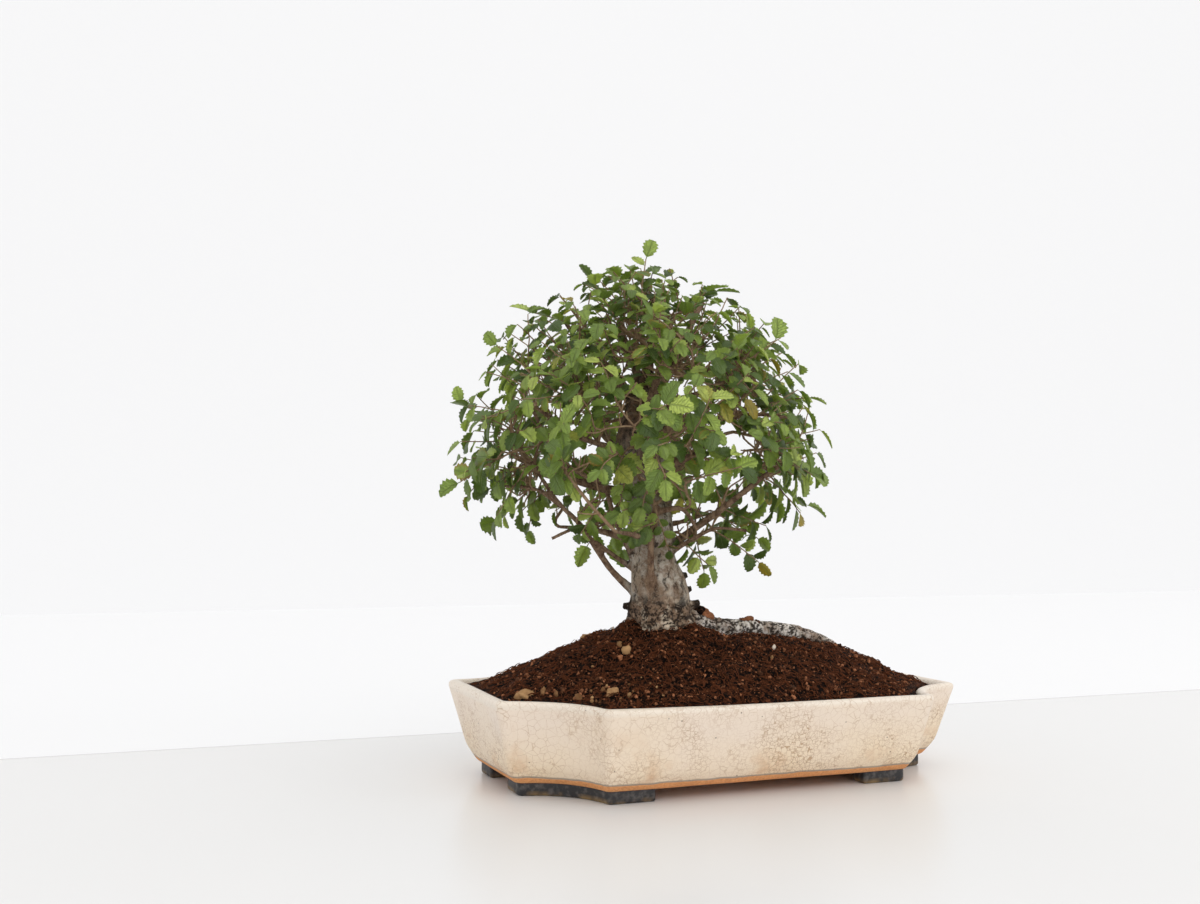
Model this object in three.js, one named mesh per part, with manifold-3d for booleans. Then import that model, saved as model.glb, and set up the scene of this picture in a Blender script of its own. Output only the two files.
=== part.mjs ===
// A chinese elm grown as a bonsai, planted in its cream glazed tray pot.
// Millimetres, +Z up. The feet stand on z = 0, the long side of the pot runs along X and its front is -Y.
// The origin is the middle of the whole plant's footprint, so the pot sits a little off it along X.
import * as THREE from "three";
import { mergeVertices } from "three/addons/utils/BufferGeometryUtils.js";
import Module from "manifold-3d";

const wasm = await Module();
wasm.setup();

// Clearances and the seed
const GAP = 0.3; // between pieces that rest on each other
const SEED = 20481;
const WELD = 1e-4; // corners nearer than this are one

// Pot
const POT_LENGTH = 310; // over the rim
const POT_DEPTH = 198;
const POT_NOTCH = 46; // how far each corner is cut in along both sides, at the rim
const BASE_INSET_X = 14.2; // how far the bottom of the wall is set in from the rim
const BASE_INSET_Y = 19.4;
const BASE_NOTCH = 40.5;
const WALL_HEIGHT = 47.9; // from the underside of the floor to the top of the rim
const FOOT_HEIGHT = 7.3;
const WALL_THICKNESS = 7.5;
const FLOOR_THICKNESS = 8;
const BAND_HEIGHT = 5.5; // bare clay below the glaze
const CURVE_HEIGHT = 10.5; // above this the wall is straight
const DRAWN_AT_BAND = 0.76; // how far in the wall is at the top of the band, as a share of the base's inset
const DRAWN_AT_CURVE = 0.57; // and where it becomes straight
const LIP_ROUND = 3; // rounding of the rim
const LIP = [[1, 0.7], [0, LIP_ROUND], [0.6, 6.1]]; // rings over the rim: how far down, and how far in
const NOTCH_SAG = 0.17; // depth of a corner's hollow, as a share of its chord
const CORNER_ROUND = 4;
const HOLLOW_STEPS = 4;
const DRAIN_RADIUS = 8;
const DRAIN_SIDES = 10;
const DRAIN_OFFSET = 72; // of each drainage hole from the pot's middle

// Feet
const FOOT_INSET = 1;
const FOOT_WIDTH = 14;
const FOOT_ALONG_FRONT = 26; // how far a foot reaches past the corner along the long wall
const FOOT_ALONG_SIDE = 18;

// Drainage screens
const SCREEN_SIZE = 24;
const SCREEN_THICKNESS = 0.8;
const SCREEN_HOLE = 5.4;
const SCREEN_PITCH = 7.2;

// Soil
const SOIL_EDGE = 52.4; // height of the soil at the rim
const SOIL_RISE = 40; // how much higher the mound is in the middle
const SOIL_POWER_X = 2.4;
const SOIL_POWER_Y = 1.7;
const SOIL_POWER_CORNER = 6;
const SOIL_LUMPINESS = 1.1;
const COLLAR = { x: -32, y: 0, rise: 8, reach: 38 }; // soil heaped round the foot of the trunk

// Trunk, surface roots and limbs: routes of [x, y, z, radius] from the middle of the pot
const TRUNK = [
  [-31, 0, 66, 21], [-32, -1, 79, 24], [-32, -1, 90, 22.5], [-33, 0, 104, 20], [-35, -1, 118, 17.6],
  [-37, 1, 135, 15], [-38, 2, 161, 14.2], [-42, 3, 187, 15.5], [-45, 5, 205, 16], [-44, 4, 222, 14],
  [-42, 4, 240, 9],
];
const ROOTS = [
  [[-22, -2, 96, 10], [-6, -3, 92, 9], [6, -3, 90.5, 7.5], [39, -3, 89, 6], [62, -3, 86.5, 5.5],
    [85, -3, 80, 5], [95, -3, 75, 4.5], [106, -2, 67, 3.5]],
  [[-44, 3, 88, 10], [-58, 5, 82, 6], [-70, 8, 72, 3.5]],
  [[-34, -10, 86, 10], [-38, -24, 78, 6], [-42, -36, 68, 3.5]],
  [[-28, 10, 88, 10], [-22, 25, 81, 6], [-18, 38, 72, 3.5]],
];
const LIMBS = [
  [[-42, 4, 234, 6.8], [-41, -1, 268, 4.1], [-36, 1, 294, 2.7], [-38, 6, 310, 1.8]],
  [[-40, 3, 232, 6.1], [-31, -9, 260, 4], [-24, -17, 276, 3.3], [-17, -19, 292, 2.7], [-12, -21, 301, 2.1]],
  [[-45, 5, 228, 5.3], [-58, 21, 258, 3.5], [-75, 32, 276, 2.7], [-88, 35, 294, 1.8]],
  [[-38, 2, 226, 4.6], [-19, 1, 238, 3.2], [-5, -1, 244, 2.7], [23, -5, 257, 1.7]],
  [[-36, 0, 216, 3.4], [-18, -19, 224, 2.7], [-1, -32, 226, 2.3], [17, -44, 228, 1.9], [33, -53, 226, 1.6]],
  [[-36, -2, 194, 3.4], [-23, -24, 201, 2.4], [-8, -43, 215, 1.7]],
  [[-32, 0, 138, 3.8], [-18, -12, 153, 3.3], [-3, -23, 166, 2.9], [26, -37, 191, 2.2], [46, -42, 203, 1.7]],
  [[-32, -2, 136, 2.6], [-21, -20, 148, 2], [-11, -37, 156, 1.7], [3, -52, 155, 1.6]],
  [[-42, -10, 110, 3.4], [-47, -18, 133, 2.9], [-48, -22, 152, 2.7], [-46, -24, 171, 2.5]],
  [[-46, -23, 166, 2.3], [-33, -34, 168, 2], [-26, -42, 155, 1.6]],
  [[-44, 5, 111, 3.4], [-63, 8, 129, 2.8], [-84, 10, 158, 2.3], [-97, 13, 171, 2], [-113, 23, 198, 1.6]],
  [[-44, 5, 127, 2.8], [-58, 8, 136, 2.3], [-75, 7, 147, 2]],
  [[-46, 0, 128, 3], [-61, 3, 158, 2.3], [-69, 6, 186, 2], [-74, 10, 225, 1.6]],
  [[-67, 5, 183, 2.1], [-82, 7, 189, 2.3], [-98, 11, 200, 2.1], [-115, 20, 234, 1.6]],
  [[-50, 5, 203, 3.3], [-75, 0, 209, 2.6], [-93, -4, 214, 2.1], [-117, -1, 230, 1.7]],
  [[-96, 13, 170, 2], [-110, 20, 180, 1.7], [-130, 26, 182, 1.6]],
  [[-83, 10, 157, 2], [-94, 4, 154, 1.6], [-106, 2, 149, 1.6]],
  [[-38, 4, 172, 3.8], [-14, 30, 190, 3], [10, 52, 203, 2.4], [30, 66, 214, 1.7]],
  [[-44, 8, 194, 4.6], [-46, 44, 210, 3], [-50, 68, 224, 2.3], [-52, 84, 234, 1.6]],
  [[-44, 6, 176, 4.2], [-76, 36, 186, 2.9], [-98, 56, 196, 2.3], [-110, 66, 202, 1.6]],
  [[-34, 6, 146, 3.5], [-8, 36, 158, 2.4], [14, 56, 160, 1.7]],
  [[-40, 6, 146, 3.5], [-62, 40, 154, 2.4], [-80, 60, 156, 1.7]],
  [[-42, 6, 234, 5.3], [-40, 26, 266, 3.5], [-42, 42, 288, 2.4], [-40, 50, 300, 1.7]],
  [[-40, 5, 232, 4.6], [-14, 22, 262, 3], [8, 36, 280, 1.8]],
  [[-42, 1, 228, 4.3], [-46, -26, 252, 2.9], [-50, -46, 268, 2.1], [-52, -58, 278, 1.6]],
  [[-42, -4, 196, 3.8], [-52, -40, 206, 2.4], [-58, -64, 212, 1.7]],
  [[-40, -6, 146, 3.3], [-66, -34, 152, 2.3], [-84, -50, 154, 1.6]],
];
const STUBS = [
  [[-30, -3, 121, 3.4], [-15.5, -5, 126, 2]],
  [[-28, -4, 113, 3.4], [-12.5, -6, 117, 2]],
  [[-24, -5, 104, 3.6], [-7.5, -8, 108, 2.4]],
  [[-44, 2, 103, 3.6], [-56, 5, 106, 2.2]],
];

const TRUNK_SIDES = 12;
const ROOT_SIDES = 6;
const LIMB_SIDES = 5;
const SHOOT_SIDES = 3;

// Crown: radius of its outline at each height, bottom to top, and how the leafy sprays fill it
const CROWN_X = -43;
const CROWN_Y = 4;
const CROWN_DEPTH = 0.9; // depth from front to back, as a share of the width
const CROWN_OUTLINE = [
  [38, 124], [84, 134], [112, 162], [130, 192], [124, 234],
  [110, 258], [92, 290], [60, 313], [28, 330], [0, 336],
];
const OUTER_SPRAYS = 50;
const INNER_SPRAYS = 7;
const INNER_SCALE = 0.56;
const INNER_KEY = 100; // the inner sprays' draws start at this key
const TURN_STRAY = 0.5; // of a spray's place round the crown, in radians
const WANDER = 1.5; // how much a twig strays from straight out of the crown
const HANG = 0.3; // how much of that is downwards
const AWAY_FROM_LIMB = 0.7; // how much a twig points away from its limb
const LOOK_UP = 0.3; // how much a spray's upper side looks up rather than out of the crown
const TRUNK_VIEW = { x: -0.37, y: -0.93 }; // the side from which the bare lower trunk is seen
const BARE_FACING = 0.5; // cosine of the angle from that side within which it stays bare
const BARE_BELOW = 180; // up to this height

// Branches to the sprays. Each leaves the limb point of least cost: near, not above it, not right against it.
const ABOVE_COST = 0.8;
const ABOVE_FROM = -4;
const CLOSE_COST = 2;
const CLOSE = 14;
const SHARPEST = -0.3; // how far a branch may turn against the way from its limb, as a cosine
const BRANCH_EASE = 0.35; // length of a branch's curved ends, as a share of its span
const LONG_SPAN = 40; // a branch with a longer span has one more step
const BRANCH_TIP = 1.2;
const BRANCH_ROOT = 2.4;
const BRANCH_SHARE = 0.85; // of the limb's radius, where that is thinner than the branch's root

// Sprays: a twig, with leaves in turn on its two sides and one at its tip
const TWIG_LENGTH = 33;
const TWIG_STRAY = 0.3; // of its length, as a share
const TWIG_BEND = 0.45; // where along its length a twig bends
const SWAY = 0.35; // how far a twig bends, and how much further with each try
const SWAY_PER_TRY = 0.14;
const SWAY_DOWN = 0.4;
const TWIG_ROOT = 0.9; // half its width
const TWIG_TIP = 0.55;
const LEAF_PLACES = [0.13, 0.28, 0.43, 0.58, 0.73, 0.88, 1];
const LEAF_LENGTH = [10, 18];
const SMALL_LEAVES = 1.2; // above 1, more of the leaves are small
const TRY_SHORTER = 1.2; // how much shorter a large leaf gets with each try
const TIP_OVERLAP = 0.6; // how much of the shortest leaf reaches out of the crown's outline
const LEAF_WIDTH = 0.64; // as a share of the length
const LEAF_THICKNESS = 0.66;
const LEAN = { least: 0.5, stray: 0.5, perTry: 0.12 }; // how far a midrib leans along its twig
const TIP_SPREAD = 0.15; // how far the leaf at the tip points aside
const TILT = { down: 0.6, stray: 0.8, perTry: 0.1 }; // how far a midrib points up or down
const LOOK_OUT = { least: 0.7, stray: 1 }; // how far a blade's face turns along its twig
const LOOK_ASIDE = 1.1; // how far it rolls to either side
const LEAF_FOLD = 0.22;
const LEAF_ARCH = 0.16;
const STALK_HALF_WIDTH = 0.6;
// One side of a blade: how far along it each corner is, and how far out, as shares of length and width
const LEAF_EDGE = [[0.36, 0.5], [0.47, 0.4], [0.72, 0.41]];
// Balls that stand for a blade when room is tested: place along it and radius, as shares of length and width
const BLADE_BALLS = [[0.3, 0.42], [0.55, 0.5], [0.82, 0.34]];
const BALL_SPACING = 2.5;
const TRIES = 10;
const CLEAR = 0.8; // room kept between a spray and anything else
const FEWEST_LEAVES = 2; // a spray with fewer is left out
const SAME_SPRAY = 0.85; // how near two blades of one spray may come, as a share of their two radii
const BRANCH_END = 9; // the stretch of wood below a spray that the spray may come close to
const NEAR_BRANCH = 0.6; // how near a blade may come to it, as a share of the blade's radius

// Lumps of fired clay and pumice on the soil: [x, y, radius along X, along Y, along Z]
const LUMPS = [
  [-134, -36, 7, 5, 4.2],
  [-92, -66, 4, 3.4, 3],
  [-70, 30, 4.6, 3.8, 3.4],
];

const LUMP_STRAY = 0.22; // of a lump's radii, as a share
const LUMP_RISE = 0.35; // how far a lump's middle is above the soil, as a share of its height radius

const up = new THREE.Vector3(0, 0, 1);
const vec = (x, y, z) => new THREE.Vector3(x, y, z);
const { lerp } = THREE.MathUtils;

// A fixed draw from 0 to 1 for a few whole numbers, so that the same tree grows every time. One of the
// numbers says what the draw is for.
const FOR = {
  turn: 1, wanderX: 2, wanderY: 3, wanderZ: 4, twigLength: 5, swayX: 11, swayY: 12, swayZ: 13,
  tilt: 21, lean: 22, lookOut: 23, lookAside: 24, leafLength: 25, bulge: 71,
};
const MIX_FIRST = 0x9e3779b1;
const MIX_SECOND = 0x85ebca6b;
const WHOLE_RANGE = 4294967296;
function draw(...keys) {
  let mixed = SEED;
  for (const key of keys) {
    mixed = Math.imul(mixed ^ key, MIX_FIRST);
    mixed ^= mixed >>> 15;
    mixed = Math.imul(mixed, MIX_SECOND);
    mixed ^= mixed >>> 13;
  }
  return (mixed >>> 0) / WHOLE_RANGE;
}

// Solids

function bufferGeometry(points, faces) {
  const geometry = new THREE.BufferGeometry();
  geometry.setAttribute("position", new THREE.Float32BufferAttribute(points.flat(), 3));
  geometry.setIndex(faces.flat());
  return geometry;
}

function toSolid(geometry) {
  const bare = geometry.clone();
  bare.deleteAttribute("normal");
  bare.deleteAttribute("uv");
  const closed = mergeVertices(bare, WELD);
  return new wasm.Manifold(new wasm.Mesh({
    numProp: 3,
    vertProperties: new Float32Array(closed.attributes.position.array),
    triVerts: new Uint32Array(closed.index.array),
  }));
}

function toGeometry(solid) {
  const mesh = solid.getMesh();
  const geometry = new THREE.BufferGeometry();
  geometry.setAttribute("position", new THREE.Float32BufferAttribute(mesh.vertProperties, 3));
  geometry.setIndex(new THREE.Uint32BufferAttribute(mesh.triVerts, 1));
  geometry.computeVertexNormals();
  return geometry;
}

function joined(geometries) {
  return geometries.map(toSolid).reduce((whole, next) => whole.add(next));
}

// The outer skin alone, where members that cross each other have shut a hollow in between them.
function outerSkin(solid) {
  const skins = solid.decompose();
  return skins.reduce((best, next) => (next.volume() > best.volume() ? next : best));
}

// A skin over rings of points that all have the same count, closed by a flat or fanned end at each side.
function loft(rings) {
  const count = rings[0].length;
  const points = rings.flat();
  const faces = [];
  for (let ring = 0; ring + 1 < rings.length; ring++) {
    for (let i = 0; i < count; i++) {
      const next = (i + 1) % count;
      const [a, b] = [ring * count + i, ring * count + next];
      faces.push([a, b, b + count], [a, b + count, a + count]);
    }
  }
  const last = (rings.length - 1) * count;
  const flat = (ring) => ring.map(([x, y]) => new THREE.Vector2(x, y));
  for (const [a, b, c] of THREE.ShapeUtils.triangulateShape(flat(rings[0]), [])) faces.push([c, b, a]);
  for (const [a, b, c] of THREE.ShapeUtils.triangulateShape(flat(rings.at(-1)), [])) {
    faces.push([last + a, last + b, last + c]);
  }
  return bufferGeometry(points, faces);
}

// A closed tube along a curve. Its radius is asked for at each share of the length and each angle.
function tube(curve, sides, steps, radiusAt) {
  const frames = curve.computeFrenetFrames(steps, false);
  const points = [];
  for (let step = 0; step <= steps; step++) {
    const share = step / steps;
    const centre = curve.getPointAt(share);
    for (let side = 0; side < sides; side++) {
      const angle = (side / sides) * 2 * Math.PI;
      const reach = radiusAt(share, angle, centre.z);
      points.push(centre.clone()
        .addScaledVector(frames.normals[step], Math.cos(angle) * reach)
        .addScaledVector(frames.binormals[step], Math.sin(angle) * reach).toArray());
    }
  }
  const faces = [];
  for (let step = 0; step < steps; step++) {
    for (let side = 0; side < sides; side++) {
      const [a, b] = [step * sides + side, step * sides + ((side + 1) % sides)];
      faces.push([a, b, b + sides], [a, b + sides, a + sides]);
    }
  }
  const end = steps * sides;
  for (let side = 1; side + 1 < sides; side++) {
    faces.push([0, side + 1, side], [end, end + side, end + side + 1]);
  }
  return bufferGeometry(points, faces);
}

function smoothRoute(route) {
  return new THREE.CatmullRomCurve3(route.map(([x, y, z]) => vec(x, y, z)));
}

// A round member along a smooth route of [x, y, z, radius], tapering between the given radii.
const LENGTHS_PER_POINT = 20;
function member(route, sides, steps, knobble = () => 1) {
  const curve = smoothRoute(route);
  const lengths = curve.getLengths(LENGTHS_PER_POINT * (route.length - 1));
  const marks = route.map((_, i) => lengths[LENGTHS_PER_POINT * i] / lengths.at(-1));
  return tube(curve, sides, steps, (share, angle, height) => {
    let span = 0;
    while (span + 2 < marks.length && marks[span + 1] < share) span++;
    const within = Math.min(1, (share - marks[span]) / (marks[span + 1] - marks[span]));
    const radius = route[span][3] + (route[span + 1][3] - route[span][3]) * within;
    return radius * knobble(angle, height);
  });
}

// Pot

// One quarter of the pot's outline: rounded edge, hollow corner, rounded edge, in the quarter where x and y
// are positive. It starts on the short wall and ends on the long one.
function cornerPoints(a, b, notch) {
  const chord = notch * Math.SQRT2;
  const sag = chord * NOTCH_SAG;
  const radius = (chord * chord / 4 + sag * sag) / (2 * sag);
  const centre = new THREE.Vector2(a - notch / 2, b - notch / 2)
    .addScaledVector(new THREE.Vector2(1, 1).normalize(), radius - sag);
  const half = Math.asin(chord / 2 / radius) - CORNER_ROUND / radius;
  const middle = Math.PI * 1.25;
  const hollow = new THREE.Path().absarc(centre.x, centre.y, radius, middle + half, middle - half, true);
  const [sideEdge, longEdge] = [new THREE.Vector2(a, b - notch), new THREE.Vector2(a - notch, b)];
  const onSide = new THREE.Vector2(a, b - notch - CORNER_ROUND);
  const onLong = new THREE.Vector2(a - notch - CORNER_ROUND, b);
  const first = new THREE.QuadraticBezierCurve(onSide, sideEdge, hollow.getPoint(0));
  const last = new THREE.QuadraticBezierCurve(hollow.getPoint(1), longEdge, onLong);
  return [...first.getPoints(1), ...hollow.getPoints(HOLLOW_STEPS).slice(1, -1), ...last.getPoints(1)];
}

// The same quarter in all four corners, counter-clockwise.
function outlinePoints(a, b, notch) {
  const quarter = cornerPoints(a, b, notch).map((p) => [p.x, p.y]);
  const back = [...quarter].reverse();
  return [
    ...quarter,
    ...back.map(([x, y]) => [-x, y]),
    ...quarter.map(([x, y]) => [-x, -y]),
    ...back.map(([x, y]) => [x, -y]),
  ];
}

// How far the wall has drawn in at a height above the underside of the floor: 0 at the rim, 1 at the bottom.
function drawIn(height) {
  if (height <= BAND_HEIGHT) return lerp(1, DRAWN_AT_BAND, height / BAND_HEIGHT);
  if (height > CURVE_HEIGHT) return DRAWN_AT_CURVE * ((WALL_HEIGHT - height) / (WALL_HEIGHT - CURVE_HEIGHT));
  return lerp(DRAWN_AT_BAND, DRAWN_AT_CURVE, (height - BAND_HEIGHT) / (CURVE_HEIGHT - BAND_HEIGHT));
}

const NOTCH_PER_INSET = 2 - Math.SQRT2; // keeps a wall equally thick through the corner
function wallSize(height, inset) {
  const share = drawIn(height);
  return [
    POT_LENGTH / 2 - share * BASE_INSET_X - inset,
    POT_DEPTH / 2 - share * BASE_INSET_Y - inset,
    POT_NOTCH - share * (POT_NOTCH - BASE_NOTCH) - NOTCH_PER_INSET * inset,
  ];
}

function wallRing(height, inset) {
  return outlinePoints(...wallSize(height, inset)).map(([x, y]) => [x, y, FOOT_HEIGHT + height]);
}

function footSolid(signX, signY) {
  const outer = cornerPoints(...wallSize(0, FOOT_INSET));
  const inner = cornerPoints(...wallSize(0, FOOT_INSET + FOOT_WIDTH));
  const stretch = (points) => [
    new THREE.Vector2(points[0].x, outer[0].y - FOOT_ALONG_SIDE),
    ...points,
    new THREE.Vector2(outer.at(-1).x - FOOT_ALONG_FRONT, points.at(-1).y),
  ];
  const outline = [...stretch(outer), ...stretch(inner).reverse()];
  const shape = new THREE.Shape(outline.map((p) => new THREE.Vector2(p.x * signX, p.y * signY)));
  const depth = FOOT_HEIGHT + FLOOR_THICKNESS / 2;
  return toSolid(new THREE.ExtrudeGeometry(shape, { depth, bevelEnabled: false }));
}

function drainCutter(side) {
  const cutter = new THREE.CylinderGeometry(DRAIN_RADIUS, DRAIN_RADIUS, 4 * FLOOR_THICKNESS, DRAIN_SIDES);
  return toSolid(cutter.rotateX(Math.PI / 2).translate(side * DRAIN_OFFSET, 0, FOOT_HEIGHT));
}

function potGeometry() {
  const rings = [
    wallRing(0, 0),
    wallRing(BAND_HEIGHT, 0),
    wallRing(CURVE_HEIGHT, 0),
    wallRing(WALL_HEIGHT - LIP_ROUND, 0),
    ...LIP.map(([down, inset]) => wallRing(WALL_HEIGHT - down, inset)),
    wallRing(WALL_HEIGHT - LIP_ROUND, WALL_THICKNESS),
    wallRing(FLOOR_THICKNESS, WALL_THICKNESS),
  ];
  let pot = toSolid(loft(rings));
  for (const signX of [1, -1]) {
    for (const signY of [1, -1]) pot = pot.add(footSolid(signX, signY));
  }
  for (const side of [1, -1]) pot = pot.subtract(drainCutter(side));
  return toGeometry(pot);
}

function screenGeometry(side) {
  const hole = new THREE.BoxGeometry(SCREEN_HOLE, SCREEN_HOLE, 2 * SCREEN_THICKNESS);
  let plate = toSolid(new THREE.BoxGeometry(SCREEN_SIZE, SCREEN_SIZE, SCREEN_THICKNESS));
  for (const column of [-1, 0, 1]) {
    for (const row of [-1, 0, 1]) {
      plate = plate.subtract(toSolid(hole.clone().translate(column * SCREEN_PITCH, row * SCREEN_PITCH, 0)));
    }
  }
  const height = FOOT_HEIGHT + FLOOR_THICKNESS + GAP + SCREEN_THICKNESS / 2;
  return toGeometry(plate).translate(side * DRAIN_OFFSET, 0, height);
}

// Soil

function soilHeight(x, y) {
  const [halfX, halfY, notch] = wallSize(WALL_HEIGHT, WALL_THICKNESS);
  const along = 1 - Math.min(1, Math.abs(x) / halfX) ** SOIL_POWER_X;
  const across = 1 - Math.min(1, Math.abs(y) / halfY) ** SOIL_POWER_Y;
  const corner = 1 - Math.min(1, (Math.abs(x) + Math.abs(y)) / (halfX + halfY - notch)) ** SOIL_POWER_CORNER;
  const bumps = Math.sin(x / 9 + 1) * Math.cos(y / 7) + 0.6 * Math.sin(x / 5 - y / 6);
  const heap = COLLAR.rise * Math.exp(-((Math.hypot(x - COLLAR.x, y - COLLAR.y) / COLLAR.reach) ** 2));
  return SOIL_EDGE + SOIL_RISE * along * across * corner + SOIL_LUMPINESS * bumps * corner + heap;
}

const SOIL_RINGS = [1, 0.88, 0.7, 0.46, 0.2];
function soilSolid() {
  const inset = WALL_THICKNESS + GAP;
  const rings = [wallRing(FLOOR_THICKNESS + GAP, inset)];
  const edge = wallRing(WALL_HEIGHT - LIP_ROUND, inset);
  for (const share of SOIL_RINGS) {
    rings.push(edge.map(([x, y]) => [x * share, y * share, soilHeight(x * share, y * share)]));
  }
  return toSolid(loft(rings));
}

function lumpGeometry([x, y, ...radii], index, extra = 0) {
  const shape = index === 0 ? new THREE.IcosahedronGeometry(1, 1) : new THREE.DodecahedronGeometry(1, 0);
  shape.deleteAttribute("normal");
  shape.deleteAttribute("uv");
  const lump = mergeVertices(shape, WELD);
  const places = lump.attributes.position;
  for (let i = 0; i < places.count; i++) {
    const bulge = 1 + LUMP_STRAY * (draw(index, i, FOR.bulge) - 0.5);
    const moved = [0, 1, 2].map((axis) => places.getComponent(i, axis) * (radii[axis] * bulge + extra));
    places.setXYZ(i, ...moved);
  }
  return lump.translate(x, y, soilHeight(x, y) + radii[2] * LUMP_RISE);
}

// Wood

// Swellings round the trunk: how large, how many in a turn, and how fast they wind upwards
const KNOBS = [{ size: 0.07, around: 3, rise: 13 }, { size: 0.05, around: 5, rise: -8 }];
function knobbly(angle, height) {
  return KNOBS.reduce((sum, knob) => sum + knob.size * Math.sin(knob.around * angle + height / knob.rise), 1);
}

function trunkAndRoots() {
  const roots = ROOTS.map((route) => member(route, ROOT_SIDES, route.length));
  return joined([member(TRUNK, TRUNK_SIDES, TRUNK.length, knobbly), ...roots]);
}

// Points of the crown's outline by area, so that the sprays are even all over it.
function crownPlace(share, turn, scale) {
  const areas = [0];
  for (let i = 0; i + 1 < CROWN_OUTLINE.length; i++) {
    const [[r0, z0], [r1, z1]] = [CROWN_OUTLINE[i], CROWN_OUTLINE[i + 1]];
    areas.push(areas[i] + (r0 + r1) * Math.hypot(r1 - r0, z1 - z0));
  }
  const wanted = share * areas.at(-1);
  let span = 0;
  while (areas[span + 1] < wanted) span++;
  const within = (wanted - areas[span]) / (areas[span + 1] - areas[span]);
  const [[r0, z0], [r1, z1]] = [CROWN_OUTLINE[span], CROWN_OUTLINE[span + 1]];
  const radius = r0 + (r1 - r0) * within;
  const height = z0 + (z1 - z0) * within;
  const [lean, rise] = [z1 - z0, r0 - r1]; // outward direction of this stretch of the outline
  const out = vec(Math.cos(turn) * lean, Math.sin(turn) * lean, rise).normalize();
  const middle = CROWN_OUTLINE[3][1];
  const place = vec(
    CROWN_X + Math.cos(turn) * radius * scale,
    CROWN_Y + Math.sin(turn) * radius * scale * CROWN_DEPTH,
    middle + (height - middle) * scale,
  );
  return { place, out };
}

const GOLDEN_TURN = Math.PI * (3 - Math.sqrt(5));
function sprayPlans() {
  const plans = [];
  const addPlans = (count, scale, first) => {
    for (let i = 0; i < count; i++) {
      const key = first + i;
      const turn = i * GOLDEN_TURN + first + TURN_STRAY * (draw(key, FOR.turn) - 0.5);
      const { place, out } = crownPlace((i + 0.5) / count, turn, scale);
      const facing = Math.cos(turn) * TRUNK_VIEW.x + Math.sin(turn) * TRUNK_VIEW.y;
      if (facing > BARE_FACING && place.z < BARE_BELOW) continue;
      const wander = vec(
        draw(key, FOR.wanderX) - 0.5,
        draw(key, FOR.wanderY) - 0.5,
        0.5 * draw(key, FOR.wanderZ) - HANG,
      );
      const length = TWIG_LENGTH * (1 + TWIG_STRAY * (draw(key, FOR.twigLength) - 0.5));
      const reach = length + TIP_OVERLAP * LEAF_LENGTH[0];
      const limb = limbPointFor(place.clone().addScaledVector(out, -reach)).point;
      const fromLimb = place.clone().sub(limb).normalize();
      const way = out.clone()
        .addScaledVector(wander, WANDER)
        .addScaledVector(fromLimb, AWAY_FROM_LIMB).normalize();
      const root = place.clone().addScaledVector(way, -reach);
      const turnsBack = way.dot(root.clone().sub(limbPointFor(root).point).normalize()) < SHARPEST;
      if (!turnsBack) plans.push({ key, way, length, root, sky: out.clone().addScaledVector(up, LOOK_UP) });
    }
  };
  addPlans(OUTER_SPRAYS, 1, 0);
  addPlans(INNER_SPRAYS, INNER_SCALE, INNER_KEY);
  return plans;
}

// The point of a limb that a spray's branch grows from.
function limbPointFor(place) {
  let best = null;
  for (const limb of LIMBS) {
    for (let i = 1; i < limb.length; i++) {
      const point = vec(...limb[i]);
      const away = point.distanceTo(place);
      const above = Math.max(0, point.z - place.z - ABOVE_FROM);
      const cost = away + ABOVE_COST * above + CLOSE_COST * Math.max(0, CLOSE - away);
      if (best !== null && cost >= best.cost) continue;
      best = { cost, point, radius: limb[i][3], before: vec(...limb[i - 1]) };
    }
  }
  return best;
}

function branchRoute(plan) {
  const from = limbPointFor(plan.root);
  const along = from.point.clone().sub(from.before).normalize();
  const span = from.point.distanceTo(plan.root);
  const leave = along.add(plan.way).normalize();
  const curve = new THREE.CubicBezierCurve3(
    from.point,
    from.point.clone().addScaledVector(leave, span * BRANCH_EASE),
    plan.root.clone().addScaledVector(plan.way, -span * BRANCH_EASE),
    plan.root,
  );
  const thick = Math.min(from.radius * BRANCH_SHARE, BRANCH_ROOT);
  return { curve, thick, steps: span > LONG_SPAN ? 4 : 3 };
}

// Balls along everything that has grown so far, which say where there is room for more
const balls = [];
const WOOD = -1; // the owner of the balls along trunk, limbs and branches
function addBalls(curve, radii, owner, carries) {
  const count = Math.ceil(curve.getLength() / BALL_SPACING);
  for (let i = 0; i <= count; i++) {
    const share = i / count;
    const span = Math.min(radii.length - 2, Math.floor(share * (radii.length - 1)));
    const radius = radii[span] + (radii[span + 1] - radii[span]) * (share * (radii.length - 1) - span);
    balls.push({ centre: curve.getPoint(share), radius, owner, carries });
  }
}

function hasRoom(centre, radius, owner, root) {
  return balls.every((ball) => {
    const apart = ball.centre.distanceTo(centre);
    if (ball.owner === owner) return !ball.blade || apart > SAME_SPRAY * (ball.radius + radius);
    const ownBranch = ball.carries === owner && ball.centre.distanceTo(root) < BRANCH_END;
    if (ownBranch) return apart > ball.radius + NEAR_BRANCH * radius;
    return apart > ball.radius + radius + CLEAR;
  });
}

// Sprays

function twigCurve(plan, attempt) {
  const sway = vec(
    draw(plan.key, FOR.swayX, attempt) - 0.5,
    draw(plan.key, FOR.swayY, attempt) - 0.5,
    0.5 * draw(plan.key, FOR.swayZ, attempt) - SWAY_DOWN,
  );
  const end = plan.way.clone().addScaledVector(sway, SWAY + SWAY_PER_TRY * attempt).normalize();
  const root = plan.root.clone().addScaledVector(plan.way, GAP);
  return new THREE.QuadraticBezierCurve3(
    root,
    root.clone().addScaledVector(plan.way, plan.length * TWIG_BEND),
    root.clone().addScaledVector(end, plan.length),
  );
}

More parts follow.
